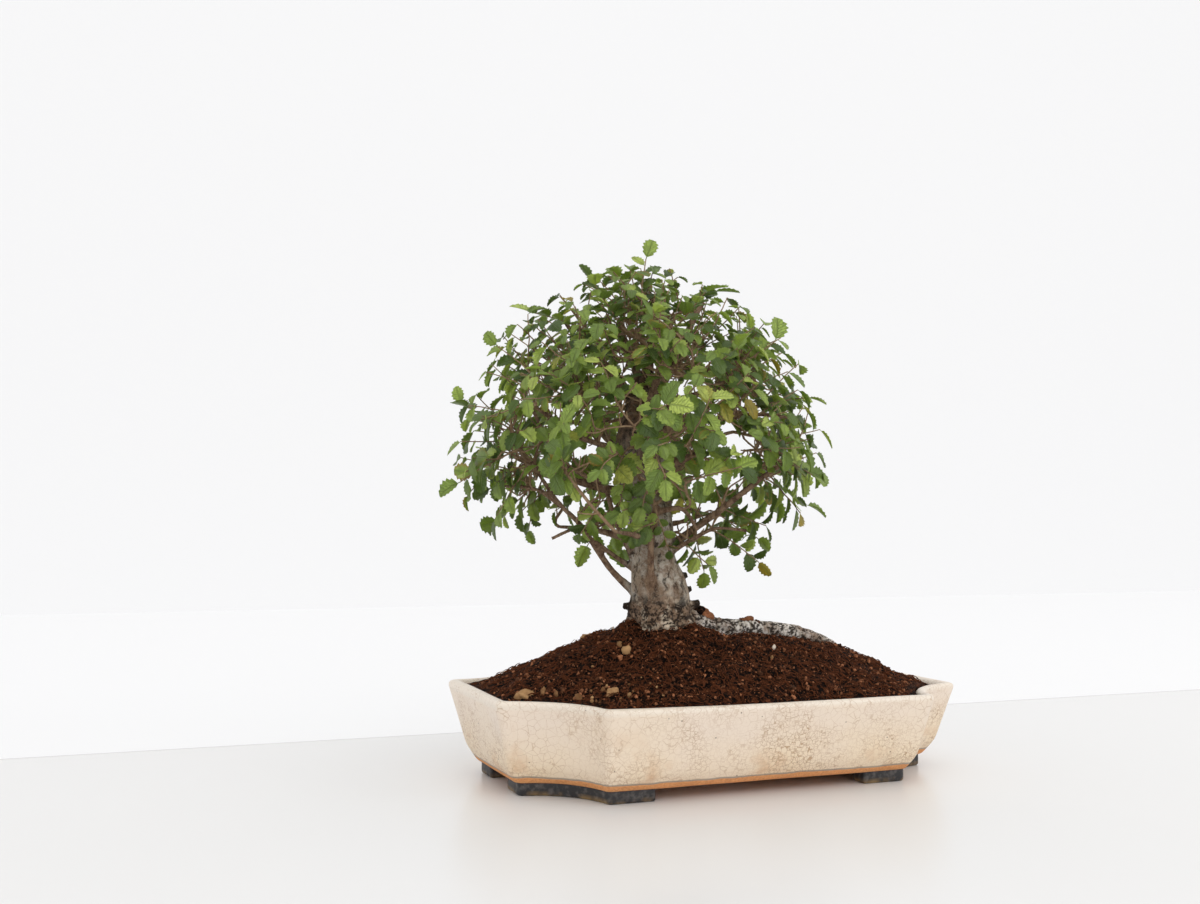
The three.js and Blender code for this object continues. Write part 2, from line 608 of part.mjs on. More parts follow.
// Where room for a twig is tested: share of its length, and the radius that has to be free there
const TWIG_TESTS = [[0.07, 1.2], [0.2, 1.6], [0.4, 1.6], [0.6, 1.6], [0.8, 1.6], [1, 1.6]];
function growTwig(plan) {
  for (let attempt = 0; attempt < TRIES; attempt++) {
    const curve = twigCurve(plan, attempt);
    const clear = TWIG_TESTS.every(([share, radius]) =>
      hasRoom(curve.getPoint(share), radius, plan.key, plan.root));
    if (clear) return curve;
  }
  return null;
}

// The way a spray's upper side looks, square to the twig, and the way to its +1 side.
function sprayFace(plan) {
  return plan.way.clone().cross(plan.sky).cross(plan.way).normalize();
}

function acrossTwig(plan, along) {
  return along.clone().cross(sprayFace(plan)).normalize();
}

// Where one leaf sits on its twig, which way its midrib points and which way its face looks.
function leafPose(plan, curve, index, attempt) {
  const share = LEAF_PLACES[index];
  const along = curve.getTangent(share);
  const side = index % 2 === 0 ? 1 : -1;
  const last = share === 1;
  const pick = (what) => draw(plan.key, index, what, attempt);
  const tilt = (pick(FOR.tilt) - TILT.down) * (TILT.stray + TILT.perTry * attempt);
  const lean = LEAN.least + LEAN.stray / 2 + (pick(FOR.lean) - 0.5) * (LEAN.stray + LEAN.perTry * attempt);
  const midrib = along.clone().multiplyScalar(lean)
    .addScaledVector(acrossTwig(plan, along), last ? TIP_SPREAD : side)
    .addScaledVector(sprayFace(plan), tilt).normalize();
  const look = sprayFace(plan)
    .addScaledVector(along, LOOK_OUT.least + LOOK_OUT.stray * pick(FOR.lookOut))
    .addScaledVector(acrossTwig(plan, along), LOOK_ASIDE * (pick(FOR.lookAside) - 0.5));
  const face = look.addScaledVector(midrib, -look.dot(midrib)).normalize();
  const size = draw(plan.key, index, FOR.leafLength);
  const fullLength = LEAF_LENGTH[0] + (LEAF_LENGTH[1] - LEAF_LENGTH[0]) * size ** SMALL_LEAVES;
  const length = fullLength - TRY_SHORTER * attempt * size;
  return { root: curve.getPoint(share), midrib, face, length, share, last, side };
}

function bladeBalls({ root, midrib, length }) {
  return BLADE_BALLS.map(([along, wide]) => ({
    centre: root.clone().addScaledVector(midrib, along * length),
    radius: wide * length * LEAF_WIDTH,
  }));
}

function growLeaves(plan, curve) {
  const leaves = [];
  for (let index = 0; index < LEAF_PLACES.length; index++) {
    for (let attempt = 0; attempt < TRIES; attempt++) {
      const pose = leafPose(plan, curve, index, attempt);
      const around = bladeBalls(pose);
      if (around.every((ball) => hasRoom(ball.centre, ball.radius, plan.key, plan.root))) {
        leaves.push(pose);
        around.forEach((ball) => balls.push({ ...ball, owner: plan.key, blade: true }));
        break;
      }
    }
  }
  return leaves;
}

// Corners of one blade with cut edges, folded along its midrib and arched, from one side of its root round
// to the other.
function bladeCorners({ root, midrib, face, length }) {
  const across = face.clone().cross(midrib);
  const width = length * LEAF_WIDTH;
  const oneSide = LEAF_EDGE.map(([along, out]) => [along * length, out * width]);
  const otherSide = oneSide.map(([along, out]) => [along, -out]);
  return [...otherSide, [length, 0], ...oneSide.reverse()].map(([along, out]) => ({
    place: root.clone()
      .addScaledVector(midrib, along)
      .addScaledVector(across, out)
      .addScaledVector(face, LEAF_FOLD * Math.abs(out) - LEAF_ARCH * length * (along / length) ** 2),
    half: LEAF_THICKNESS / 2,
  }));
}

// A leafy spray is one closed sheet: a slim bar for the twig, with each blade's outline standing out of it.
// Both faces are split into the same triangles.
function sprayGeometry(plan, curve, leaves) {
  const corners = [];
  const triangles = [];
  const rim = [];
  const addBarCorner = (share, side) => {
    const along = curve.getTangent(share);
    const across = acrossTwig(plan, along);
    const half = TWIG_ROOT + (TWIG_TIP - TWIG_ROOT) * share;
    const place = curve.getPoint(share).addScaledVector(across, side * half);
    corners.push({ place, half });
    return corners.length - 1;
  };
  // A blade between two corners of the bar, fanned from each of them out to its tip
  const addBlade = (leaf, first, second) => {
    const start = corners.length;
    corners.push(...bladeCorners(leaf));
    const added = corners.slice(start).map((_, i) => start + i);
    const tip = (added.length - 1) / 2;
    triangles.push([first, added[tip], second]);
    for (let i = 0; i < tip; i++) triangles.push([first, added[i], added[i + 1]]);
    for (let i = tip; i + 1 < added.length; i++) triangles.push([second, added[i], added[i + 1]]);
    return added;
  };
  // One edge of the bar, as [share of the twig, corner], with the blades on that side
  const walk = (side, from, to, blades) => {
    const edge = [[from, addBarCorner(from, side)]];
    const reach = (side * STALK_HALF_WIDTH) / plan.length;
    rim.push(edge[0][1]);
    for (const leaf of blades) {
      const first = addBarCorner(leaf.share - reach, side);
      const second = addBarCorner(leaf.share + reach, side);
      edge.push([leaf.share - reach, first], [leaf.share + reach, second]);
      rim.push(first, ...addBlade(leaf, first, second), second);
    }
    edge.push([to, addBarCorner(to, side)]);
    rim.push(edge.at(-1)[1]);
    return edge;
  };
  const onSide = (side) => leaves.filter((leaf) => !leaf.last && leaf.side === side);
  const near = walk(1, 0, 1, onSide(1));
  const halfWay = rim.length;
  const far = walk(-1, 1, 0, onSide(-1).reverse()).reverse();
  for (const leaf of leaves.filter((each) => each.last)) {
    rim.splice(halfWay, 0, ...addBlade(leaf, near.at(-1)[1], far.at(-1)[1]));
  }
  // The bar between its two edges
  let [i, j] = [0, 0];
  while (i + 1 < near.length || j + 1 < far.length) {
    const nearNext = j + 1 >= far.length || (i + 1 < near.length && near[i + 1][0] <= far[j + 1][0]);
    if (nearNext) triangles.push([near[i][1], near[i + 1][1], far[j][1]]);
    else triangles.push([near[i][1], far[j + 1][1], far[j][1]]);
    if (nearNext) i++;
    else j++;
  }
  // Each corner gets its thickness square to the triangles around it
  const facing = corners.map(() => vec(0, 0, 0));
  for (const triangle of triangles) {
    const normal = new THREE.Triangle(...triangle.map((corner) => corners[corner].place)).getNormal(vec(0, 0, 0));
    triangle.forEach((corner) => facing[corner].add(normal));
  }
  const lower = corners.length;
  const points = [1, -1].flatMap((way) => corners.map(({ place, half }, corner) =>
    place.clone().addScaledVector(facing[corner].normalize(), way * half).toArray()));
  const faces = triangles.flatMap(([a, b, c]) => [[a, b, c], [a + lower, c + lower, b + lower]]);
  rim.forEach((a, k) => {
    const b = rim[(k + 1) % rim.length];
    faces.push([a, a + lower, b + lower], [a, b + lower, b]);
  });
  return bufferGeometry(points, faces);
}

// The whole plant

const finishes = {
  glaze: { color: 0xe2d3bb, roughness: 0.42, metalness: 0 },
  peat: { color: 0x2e1a12, roughness: 0.98, metalness: 0 },
  bark: { color: 0x74625a, roughness: 0.9, metalness: 0 },
  leaf: { color: 0x3c6a2c, roughness: 0.55, metalness: 0 },
  clay: { color: 0xa98a63, roughness: 0.95, metalness: 0 },
  mesh: { color: 0x1c2420, roughness: 0.6, metalness: 0 },
};

function piece(name, geometry, finish) {
  const mesh = new THREE.Mesh(geometry, new THREE.MeshStandardMaterial(finishes[finish]));
  mesh.name = name;
  return mesh;
}

const plant = new THREE.Group();
plant.add(piece("pot", potGeometry(), "glaze"));
plant.add(piece("drain_screen_left", screenGeometry(-1), "mesh"));
plant.add(piece("drain_screen_right", screenGeometry(1), "mesh"));

const plans = sprayPlans();
const branches = plans.map(branchRoute);
for (const route of [TRUNK, ...ROOTS, ...LIMBS, ...STUBS]) {
  addBalls(smoothRoute(route), route.map((point) => point[3]), WOOD);
}
branches.forEach(({ curve, thick }, i) => addBalls(curve, [thick, BRANCH_TIP], WOOD, plans[i].key));

const base = trunkAndRoots();
const limbs = [...LIMBS, ...STUBS].map((route) => member(route, LIMB_SIDES, route.length - 1));
const shoots = branches.map(({ curve, thick, steps }) =>
  tube(curve, SHOOT_SIDES, steps, (share) => thick + (BRANCH_TIP - thick) * share));
plant.add(piece("tree_wood", toGeometry(outerSkin(base.add(joined([...limbs, ...shoots])))), "bark"));

const twigs = plans.map((plan) => {
  const curve = growTwig(plan);
  if (curve) addBalls(curve, [TWIG_ROOT, TWIG_TIP], plan.key);
  return curve;
});
let number = 0;
plans.forEach((plan, i) => {
  if (!twigs[i]) return;
  const leaves = growLeaves(plan, twigs[i]);
  if (leaves.length < FEWEST_LEAVES) return;
  number += 1;
  const name = `leafy_spray_${String(number).padStart(2, "0")}`;
  plant.add(piece(name, sprayGeometry(plan, twigs[i], leaves), "leaf"));
});

// The soil, with plain holes for the foot of the tree, seats for the lumps and room for the screens
function fatter(route) {
  return route.map(([x, y, z, radius]) => [x, y, z, radius + 2 * GAP]);
}
let soil = soilSolid();
const footOfTree = [
  member(fatter(TRUNK), TRUNK_SIDES, TRUNK.length, knobbly),
  ...ROOTS.map((route) => member(fatter(route), ROOT_SIDES, route.length)),
];
soil = soil.subtract(joined(footOfTree));
LUMPS.forEach((lump, index) => {
  soil = soil.subtract(toSolid(lumpGeometry(lump, index, 1.5 * GAP)));
  plant.add(piece(`clay_lump_${index + 1}`, lumpGeometry(lump, index), "clay"));
});
for (const side of [-1, 1]) {
  const room = SCREEN_SIZE + 2 * GAP;
  const height = 2 * (2 * GAP + SCREEN_THICKNESS);
  const recess = new THREE.BoxGeometry(room, room, height);
  soil = soil.subtract(toSolid(recess.translate(side * DRAIN_OFFSET, 0, FOOT_HEIGHT + FLOOR_THICKNESS)));
}
plant.add(piece("soil", toGeometry(soil), "peat"));

// Move the plant so that the middle of its footprint is the origin
const box = new THREE.Box3().setFromObject(plant);
plant.position.set(-(box.min.x + box.max.x) / 2, -(box.min.y + box.max.y) / 2, 0);

export default plant;
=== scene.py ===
"""A chinese elm grown as a bonsai in its cream glazed tray pot: the dressed model, its stage and its camera.

The fine pieces follow the packed solids. The pot, the soil and the wood are drawn again from the same
driving dimensions, and the leafy sprays are grown again by the same rule, so that every solid leaf has its
fine leaf.
All shapes are worked out in millimetres from the middle of the pot, and put into the frame, in metres, at
the end.
"""
import math

import bpy
import numpy as np
from mathutils import Matrix, Vector, noise


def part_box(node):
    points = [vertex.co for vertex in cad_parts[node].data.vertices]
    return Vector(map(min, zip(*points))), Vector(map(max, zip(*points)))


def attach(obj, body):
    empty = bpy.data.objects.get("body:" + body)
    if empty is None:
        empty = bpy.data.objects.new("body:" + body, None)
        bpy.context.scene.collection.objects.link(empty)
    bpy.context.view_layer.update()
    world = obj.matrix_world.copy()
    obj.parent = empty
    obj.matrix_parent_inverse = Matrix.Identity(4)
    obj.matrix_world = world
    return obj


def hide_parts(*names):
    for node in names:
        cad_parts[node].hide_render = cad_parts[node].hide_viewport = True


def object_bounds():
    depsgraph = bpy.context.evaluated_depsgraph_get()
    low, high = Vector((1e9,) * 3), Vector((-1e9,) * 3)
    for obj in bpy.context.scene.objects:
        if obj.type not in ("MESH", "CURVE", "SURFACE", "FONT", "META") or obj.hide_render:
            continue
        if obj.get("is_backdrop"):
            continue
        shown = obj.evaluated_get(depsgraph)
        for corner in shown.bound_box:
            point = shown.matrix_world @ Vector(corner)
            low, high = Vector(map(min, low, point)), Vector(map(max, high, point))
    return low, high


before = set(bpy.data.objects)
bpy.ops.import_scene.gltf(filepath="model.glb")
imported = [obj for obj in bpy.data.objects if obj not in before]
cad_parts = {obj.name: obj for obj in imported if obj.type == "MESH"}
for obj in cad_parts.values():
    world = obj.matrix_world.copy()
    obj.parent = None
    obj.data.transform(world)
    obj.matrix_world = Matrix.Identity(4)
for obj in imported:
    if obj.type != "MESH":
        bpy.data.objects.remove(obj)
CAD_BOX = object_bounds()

bl_info = {
    "name": "Chinese elm bonsai",
    "version": (1, 0, 0),
    "blender": (4, 5, 0),
    "location": "View3D > Sidebar > Bonsai",
    "description": "Dresses the chinese elm bonsai and its tray pot",
    "category": "Object",
}

# The frame

MM = 0.001
POT_LOW, POT_HIGH = (np.array(corner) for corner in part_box("pot"))
POT_MIDDLE = (POT_LOW + POT_HIGH) / 2 * np.array([1, 1, 0])
UP = np.array([0.0, 0.0, 1.0])


def to_frame(points):
    """Millimetres from the middle of the pot to metres in the frame."""
    return np.asarray(points, dtype=float) * MM + POT_MIDDLE


# Pot: the driving dimensions of the solids, in millimetres

POT_LENGTH = 310
POT_DEPTH = 198
POT_NOTCH = 46
BASE_INSET_X = 14.2
BASE_INSET_Y = 19.4
BASE_NOTCH = 40.5
WALL_HEIGHT = 47.9
FOOT_HEIGHT = 7.3
WALL_THICKNESS = 7.5
FLOOR_THICKNESS = 8
BAND_HEIGHT = 5.5
CURVE_HEIGHT = 10.5
NOTCH_SAG = 0.17
CORNER_ROUND = 4
DRAIN_RADIUS = 8
DRAIN_OFFSET = 72
FOOT_INSET = 1
FOOT_WIDTH = 14
FOOT_ALONG_FRONT = 26
FOOT_ALONG_SIDE = 18
NOTCH_PER_INSET = 2 - math.sqrt(2)

# How the outside and inside of the wall go up, over and down again: [height, inset from the outer face]
POT_PROFILE = [
    (0.0, 2.2), (0.3, 1.0), (1.0, 0.3), (2.2, 0.0), (3.8, 0.0), (5.5, 0.0), (7.5, 0.0), (10.5, 0.0),
    (15.0, 0.0),
    (21.0, 0.0), (27.0, 0.0), (33.0, 0.0), (39.0, 0.0), (43.0, 0.0), (44.9, 0.05), (46.3, 0.5), (47.3, 1.4),
    (47.9, 3.0), (47.9, 4.8), (47.3, 6.4), (46.2, 7.2), (44.5, 7.5), (38.0, 7.5), (28.0, 7.5), (18.0, 7.5),
    (11.0, 7.7), (8.6, 9.0), (8.0, 11.5),
]
GLAZE_END = FOOT_HEIGHT + 3.6
POT_WAVER = 0.35  # how far the hand-made wall strays from true
FLARE_ENDS = 2.2  # how much further out the short ends stand at the table
FLARE_RIM = 2  # how much more again they do at the rim
FLARE_POWER = 8
LEFT_RISE = 2.6  # how much higher the rim is at the left end
WAVER_SIZE = 70
DRAWN_AT_BAND = 0.76  # share of the whole draw-in that is left at the top of the foot band
DRAWN_AT_CURVE = 0.57  # and at the end of the curve
BEND_SOFT = 2.5
HOLLOW_POINTS = 25
EDGE_POINTS = 8
LONG_WALL_STEPS = 40
SHORT_WALL_STEPS = 20
DRAIN_SIDES = 40
FOOT_ROUND = 1.7
FLARE_MOST = 1.2
FOOT_ROUND_STEPS = 3
FOOT_ROUND_ANGLE = 50
POT_SMOOTH_ANGLE = 40
MERGE_WITHIN = 0.000001  # metres

# Soil: the solid's mound, and its crumbs and fibres

SOIL_EDGE = 52.4
SOIL_RISE = 40
SOIL_POWER_X = 2.4
SOIL_POWER_Y = 1.7
SOIL_POWER_CORNER = 6
SOIL_LUMPINESS = 1.1
COLLAR_X, COLLAR_Y, COLLAR_RISE, COLLAR_REACH = -32, 0, 8, 38  # soil heaped round the foot of the trunk
SOIL_RINGS = 120
SOIL_SIDE_HEIGHTS = [10.5, 28, 44]
SOIL_CALM_EDGE = 12
SOIL_CALM_LEAST = 0.3
SOIL_EDGE_MARGIN = 3.5  # crumbs and fibres keep this far from the rim
CLEAR_OF_POT = 0.05
# The soil has washed away before the bare root: how deep along x, how far in front, and how broad
DIP_PLACES, DIP_DEPTHS = (-22, -4, 28, 74, 100), (0, 7.5, 7, 4, 0)
DIP_Y, DIP_BREADTH = -12, 9
CRUMB_SIZES = (0.5, 1.8)
GRAIN_SIZES = (0.35, 1.15)
CRUMB_STRAY = 0.55
CRUMB_STRETCH = (0.45, 1.3)
CRUMB_RISE = 0.25  # how far a crumb's middle lies above the soil, as a share of its size
FIBRE_TINT = 0.7
FIBRE_SIDES = 4
FIBRE_TAPER = (0.5, 1, 1, 0.8, 0.4)
SHRED_SHADES = (0.3, 0.82)  # up to these shares they are dark, then brown, and the rest is pale
FIBRE_SHADES = (0.05, 0.4)
FIBRE_REST = 0.45
# The coconut shreds and the long thin fibres: shortest and longest, thinnest and thickest, lift and bend
SHREDS = {"length": (2, 6.5), "radius": (0.15, 0.4), "lift": 1.2, "bend": 1.5}
FIBRES = {"length": (6, 17), "radius": (0.11, 0.2), "lift": 1.8, "bend": 1.3}
PEBBLES = 34
PEBBLE_SIZES = (0.5, 1.7)
PEBBLE_STRIP = ((-128, -58), (-80, -56))  # where most of them lie, along the rim at the front left
SEEN_PEBBLES = [
    (-71.7, -26, 2), (-69.3, -33, 2.5), (-93, -36, 1.2), (-126, -44, 2.4), (-121, -51, 2.1), (-112, -62, 2.3),
    (-85, -74, 2.1), (-93, -59, 1.6), (19, -54.5, 1.3),
]
PALE_CHIPS = [(27, -43, 2.1), (-60, 12, 1.4)]
# Soil that lies on the root, as (x, y, z, size)
ROOT_CLUMPS = [
    (-6, -4, 101.5, 3.4), (-1.5, -5, 99.5, 3.6), (3, -4, 97.5, 2.6), (-3, -1, 101.5, 3),
    (26, -4, 95, 2.2), (31, -3, 95, 2.6), (36, -5, 94, 2),
]
LUMP_STRAY = 0.34
LUMPS = [(-134, -36, 7, 5, 4.2), (-92, -66, 4, 3.4, 3), (-70, 30, 4.6, 3.8, 3.4)]
LUMP_RISE = 0.35
LUMP_TINT = 0.75

# Trunk, roots, limbs and stubs: routes of (x, y, z, radius)

TRUNK = [
    (-31, 0, 66, 21), (-32, -1, 79, 24), (-32, -1, 90, 22.5), (-33, 0, 104, 20), (-35, -1, 118, 17.6),
    (-37, 1, 135, 15), (-38, 2, 161, 14.2), (-42, 3, 187, 15.5), (-45, 5, 205, 16), (-44, 4, 222, 14),
    (-42, 4, 240, 9),
]
ROOTS = [
    [(-22, -2, 96, 10), (-6, -3, 92, 9), (6, -3, 90.5, 7.5), (39, -3, 89, 6), (62, -3, 86.5, 5.5),
     (85, -3, 80, 5), (95, -3, 75, 4.5), (106, -2, 67, 3.5)],
    [(-44, 3, 88, 10), (-58, 5, 82, 6), (-70, 8, 72, 3.5)],
    [(-34, -10, 86, 10), (-38, -24, 78, 6), (-42, -36, 68, 3.5)],
    [(-28, 10, 88, 10), (-22, 25, 81, 6), (-18, 38, 72, 3.5)],
]
LIMBS = [
    [(-42, 4, 234, 6.8), (-41, -1, 268, 4.1), (-36, 1, 294, 2.7), (-38, 6, 310, 1.8)],
    [(-40, 3, 232, 6.1), (-31, -9, 260, 4), (-24, -17, 276, 3.3), (-17, -19, 292, 2.7), (-12, -21, 301, 2.1)],
    [(-45, 5, 228, 5.3), (-58, 21, 258, 3.5), (-75, 32, 276, 2.7), (-88, 35, 294, 1.8)],
    [(-38, 2, 226, 4.6), (-19, 1, 238, 3.2), (-5, -1, 244, 2.7), (23, -5, 257, 1.7)],
    [(-36, 0, 216, 3.4), (-18, -19, 224, 2.7), (-1, -32, 226, 2.3), (17, -44, 228, 1.9), (33, -53, 226, 1.6)],
    [(-36, -2, 194, 3.4), (-23, -24, 201, 2.4), (-8, -43, 215, 1.7)],
    [(-32, 0, 138, 3.8), (-18, -12, 153, 3.3), (-3, -23, 166, 2.9), (26, -37, 191, 2.2), (46, -42, 203, 1.7)],
    [(-32, -2, 136, 2.6), (-21, -20, 148, 2), (-11, -37, 156, 1.7), (3, -52, 155, 1.6)],
    [(-42, -10, 110, 3.4), (-47, -18, 133, 2.9), (-48, -22, 152, 2.7), (-46, -24, 171, 2.5)],
    [(-46, -23, 166, 2.3), (-33, -34, 168, 2), (-26, -42, 155, 1.6)],
    [(-44, 5, 111, 3.4), (-63, 8, 129, 2.8), (-84, 10, 158, 2.3), (-97, 13, 171, 2), (-113, 23, 198, 1.6)],
    [(-44, 5, 127, 2.8), (-58, 8, 136, 2.3), (-75, 7, 147, 2)],
    [(-46, 0, 128, 3), (-61, 3, 158, 2.3), (-69, 6, 186, 2), (-74, 10, 225, 1.6)],
    [(-67, 5, 183, 2.1), (-82, 7, 189, 2.3), (-98, 11, 200, 2.1), (-115, 20, 234, 1.6)],
    [(-50, 5, 203, 3.3), (-75, 0, 209, 2.6), (-93, -4, 214, 2.1), (-117, -1, 230, 1.7)],
    [(-96, 13, 170, 2), (-110, 20, 180, 1.7), (-130, 26, 182, 1.6)],
    [(-83, 10, 157, 2), (-94, 4, 154, 1.6), (-106, 2, 149, 1.6)],
    [(-38, 4, 172, 3.8), (-14, 30, 190, 3), (10, 52, 203, 2.4), (30, 66, 214, 1.7)],
    [(-44, 8, 194, 4.6), (-46, 44, 210, 3), (-50, 68, 224, 2.3), (-52, 84, 234, 1.6)],
    [(-44, 6, 176, 4.2), (-76, 36, 186, 2.9), (-98, 56, 196, 2.3), (-110, 66, 202, 1.6)],
    [(-34, 6, 146, 3.5), (-8, 36, 158, 2.4), (14, 56, 160, 1.7)],
    [(-40, 6, 146, 3.5), (-62, 40, 154, 2.4), (-80, 60, 156, 1.7)],
    [(-42, 6, 234, 5.3), (-40, 26, 266, 3.5), (-42, 42, 288, 2.4), (-40, 50, 300, 1.7)],
    [(-40, 5, 232, 4.6), (-14, 22, 262, 3), (8, 36, 280, 1.8)],
    [(-42, 1, 228, 4.3), (-46, -26, 252, 2.9), (-50, -46, 268, 2.1), (-52, -58, 278, 1.6)],
    [(-42, -4, 196, 3.8), (-52, -40, 206, 2.4), (-58, -64, 212, 1.7)],
    [(-40, -6, 146, 3.3), (-66, -34, 152, 2.3), (-84, -50, 154, 1.6)],
]
STUBS = [
    [(-30, -3, 121, 3.4), (-15.5, -5, 126, 2)],
    [(-28, -4, 113, 3.4), (-12.5, -6, 117, 2)],
    [(-24, -5, 104, 3.6), (-7.5, -8, 108, 2.4)],
    [(-44, 2, 103, 3.6), (-56, 5, 106, 2.2)],
]
WOOD_VOXEL = 0.95
TRUNK_LOBES = [(0.07, 3, 13), (0.05, 5, -8)]  # how far out, how many round, how slowly they twist upwards
FLAKE_STRETCH, KNOB_STRETCH, WRINKLE_STRETCH = 0.45, 1.3, 0.6
FLAKE_OUT, KNOB_OUT, KNOB_MOST, WRINKLE_OUT, LUMP_OUT = 0.3, 2.4, 0.6, 0.7, 0.5
FOOT_BACK = 0.9  # how far back the foot's bark is put, to allow for its knobs
TRUNK_SIDES, ROOT_SIDES, LIMB_SIDES, TWIG_SIDES = 48, 24, 16, 6
TRUNK_STEP, LIMB_STEP = 2, 2.5
FOOT_REACH = 45  # the foot's bark has its full relief within this distance, and this share beyond
FOOT_BEYOND = 0.5
RELIEF_AT_TRUNK, RELIEF_FADE = 1.6, 20  # above the foot the relief fades with the distance
RELIEF_LEAST = 0.15
WOOD_EASE, WOOD_EASE_ROUNDS = 0.5, 4
TWIG_TINT = 0.35
TWIG_SEEDS = (9.1, 3, 7.7)
BARK_RELIEF = 0.9
FLARE_TOP = 118
FLARE_FADE = 18
FLAKE_SIZE = 4
KNOB_SIZE = 9
WRINKLE_SIZE = 3.4
LUMP_SIZE = 15
CREASE_WIDTH = 0.15
LIMB_THINNING = 0.78  # the limbs' thickness, as a share of the solid's, away from the trunk
SHOOT_LIMBS = (8, 9)  # the limbs that rise in front of the trunk
SHOOT_NEAR, SHOOT_FAR = 3.6, 4.8
STUB_END = 5
STUB_DARK = 1.5
LIMB_NEAR, LIMB_FAR = 1, 5
ROOT_SPAN = (0.16, 1)  # the stretch of the first root that lies bare on the soil
ROOT_NEAR, ROOT_FAR = 8, 13
TWIG_STEP = 4
TWIG_WANDER = 0.8
FINE_BRANCH = 0.8  # share of the solids' branch thickness, also for the added branches
FINER_BRANCH = 0.5
FINE_TWIG = (0.55, 0.32)

# Crown: the solids' outline and growth rule

CROWN_X = -43
CROWN_Y = 4
CROWN_DEPTH = 0.9
CROWN_OUTLINE = [
    (38, 124), (84, 134), (112, 162), (130, 192), (124, 234),
    (110, 258), (92, 290), (60, 313), (28, 330), (0, 336),
]
WIDEST = 3  # index of the outline's widest point
OUTER_SPRAYS = 50
INNER_SPRAYS = 7
INNER_SCALE = 0.56
INNER_KEY = 100
TURN_STRAY = 0.5
WANDER = 1.5
HANG = 0.3
AWAY_FROM_LIMB = 0.7
LOOK_UP = 0.3
TRUNK_VIEW = (-0.37, -0.93)
BARE_FACING = 0.5
BARE_BELOW = 180
ABOVE_COST = 0.8
ABOVE_FROM = -4
CLOSE_COST = 2
CLOSE = 14
SHARPEST = -0.3
BRANCH_EASE = 0.35
BRANCH_TIP = 1.2
BRANCH_ROOT = 2.4
BRANCH_SHARE = 0.85
GAP = 0.3
TWIG_LENGTH = 33
TWIG_STRAY = 0.3
TWIG_BEND = 0.45
SWAY = 0.35
SWAY_PER_TRY = 0.14
SWAY_DOWN = 0.4
TWIG_ROOT = 0.9
TWIG_TIP = 0.55
TWIG_TESTS = [(0.07, 1.2), (0.2, 1.6), (0.4, 1.6), (0.6, 1.6), (0.8, 1.6), (1, 1.6)]
LEAF_PLACES = [0.13, 0.28, 0.43, 0.58, 0.73, 0.88, 1]
LEAF_LENGTH = (10, 18)
SMALL_LEAVES = 1.2
TRY_SHORTER = 1.2
TIP_OVERLAP = 0.6
LEAF_WIDTH = 0.64
LEAN_LEAST, LEAN_STRAY, LEAN_PER_TRY = 0.5, 0.5, 0.12
TIP_SPREAD = 0.15
TILT_DOWN, TILT_STRAY, TILT_PER_TRY = 0.6, 0.8, 0.1
LOOK_OUT_LEAST, LOOK_OUT_STRAY = 0.7, 1
LOOK_ASIDE = 1.1
BLADE_BALLS = [(0.3, 0.42), (0.55, 0.5), (0.82, 0.34)]
BALL_SPACING = 2.5
TRIES = 10
CLEAR = 0.8
FEWEST_LEAVES = 2
SAME_SPRAY = 0.85
BRANCH_END = 9
NEAR_BRANCH = 0.6
GOLDEN_TURN = math.pi * (3 - math.sqrt(5))
WOOD = -1

# The finer growth that fills the crown between the solid sprays: (how many, scale of the outline, first key)
MORE_SPRAYS = [(190, 0.975, 200), (62, 0.86, 500), (24, 0.66, 700)]
TRUNK_SHOOTS = [  # leafy shoots close in front of the trunk: from where, to where
    ((-48.7, -28, 159.9), (-65.5, -28, 153)), ((-49.6, -30, 169.2), (-40.6, -30, 141.3)),
    ((-28.1, -12, 152.8), (-5.2, -12, 131.6)), ((-56.7, -38, 186.9), (-63.3, -38, 170.3)),
    ((-68, -30, 191.8), (-74.5, -30, 170.2)), ((-38.5, -25, 192.5), (-24.5, -25, 170.7)),
    ((-80.4, -15, 173.3), (-90.2, -15, 151.6)), ((-58.2, -34, 173.4), (-73.5, -34, 165.9)),
    ((-19.7, -18, 170.7), (-1.2, -18, 154.9)),
]
TRUNK_SHOOT_LEAF = 0.76  # the size of their leaves, as a share of the others'
TRUNK_SHOOT_KEY = 900
TRUNK_SHOOT_SKY = 0.5
MORE_UPWARD = 0.47  # below 1 there is more of it near the top
MORE_CLEAR = 0.42  # how near the added blades may come to others, as a share of their radii
MORE_LEAF_HEIGHTS = (170, 300)  # the added leaves get smaller from the lower height to the upper one
MORE_LEAF_SIZES = (0.98, 0.72)
LIE_FLAT = 0.75  # how far an added leaf turns its midrib into the crown's surface, and lets it hang
HANG_DOWN = 0.35
FACE_UP = 0.45
FACE_STRAY = 0.9
SPUR_PLACES = (0.35, 0.6, 0.85)
SPUR_LENGTHS = (6, 19)
SPUR_RADII = (0.6, 0.4)
MORE_TRIES = 3

# Leaf, as shares of its length and width: stalk, outline, rounded teeth, and how it folds and arches
STALK_LENGTH = 0.1
STALK_HALF_WIDTH = 0.028
BLADE_FORM = 0.93  # below 1 the widest place is nearer the stalk
BLADE_FULLNESS = 0.5
BLADE_TIP = 0.04
TEETH = 5
TOOTH = 0.065
TOOTH_STEPS = [(0.14, -1), (0.62, 1)]  # a notch, then a tooth: how far into its stretch each is
LEAF_FOLD = 0.3
LEAF_ARCH = 0.26
WIDTH_LEAST, WIDTH_STRAY = 0.88, 0.22
CURL_LEAST, CURL_STRAY = 0.35, 0.9
SPRAY_NAME = "leafy_spray"
LEAF_TIERS = [("low", 0, 195), ("middle", 195, 255), ("high", 255, 400)]

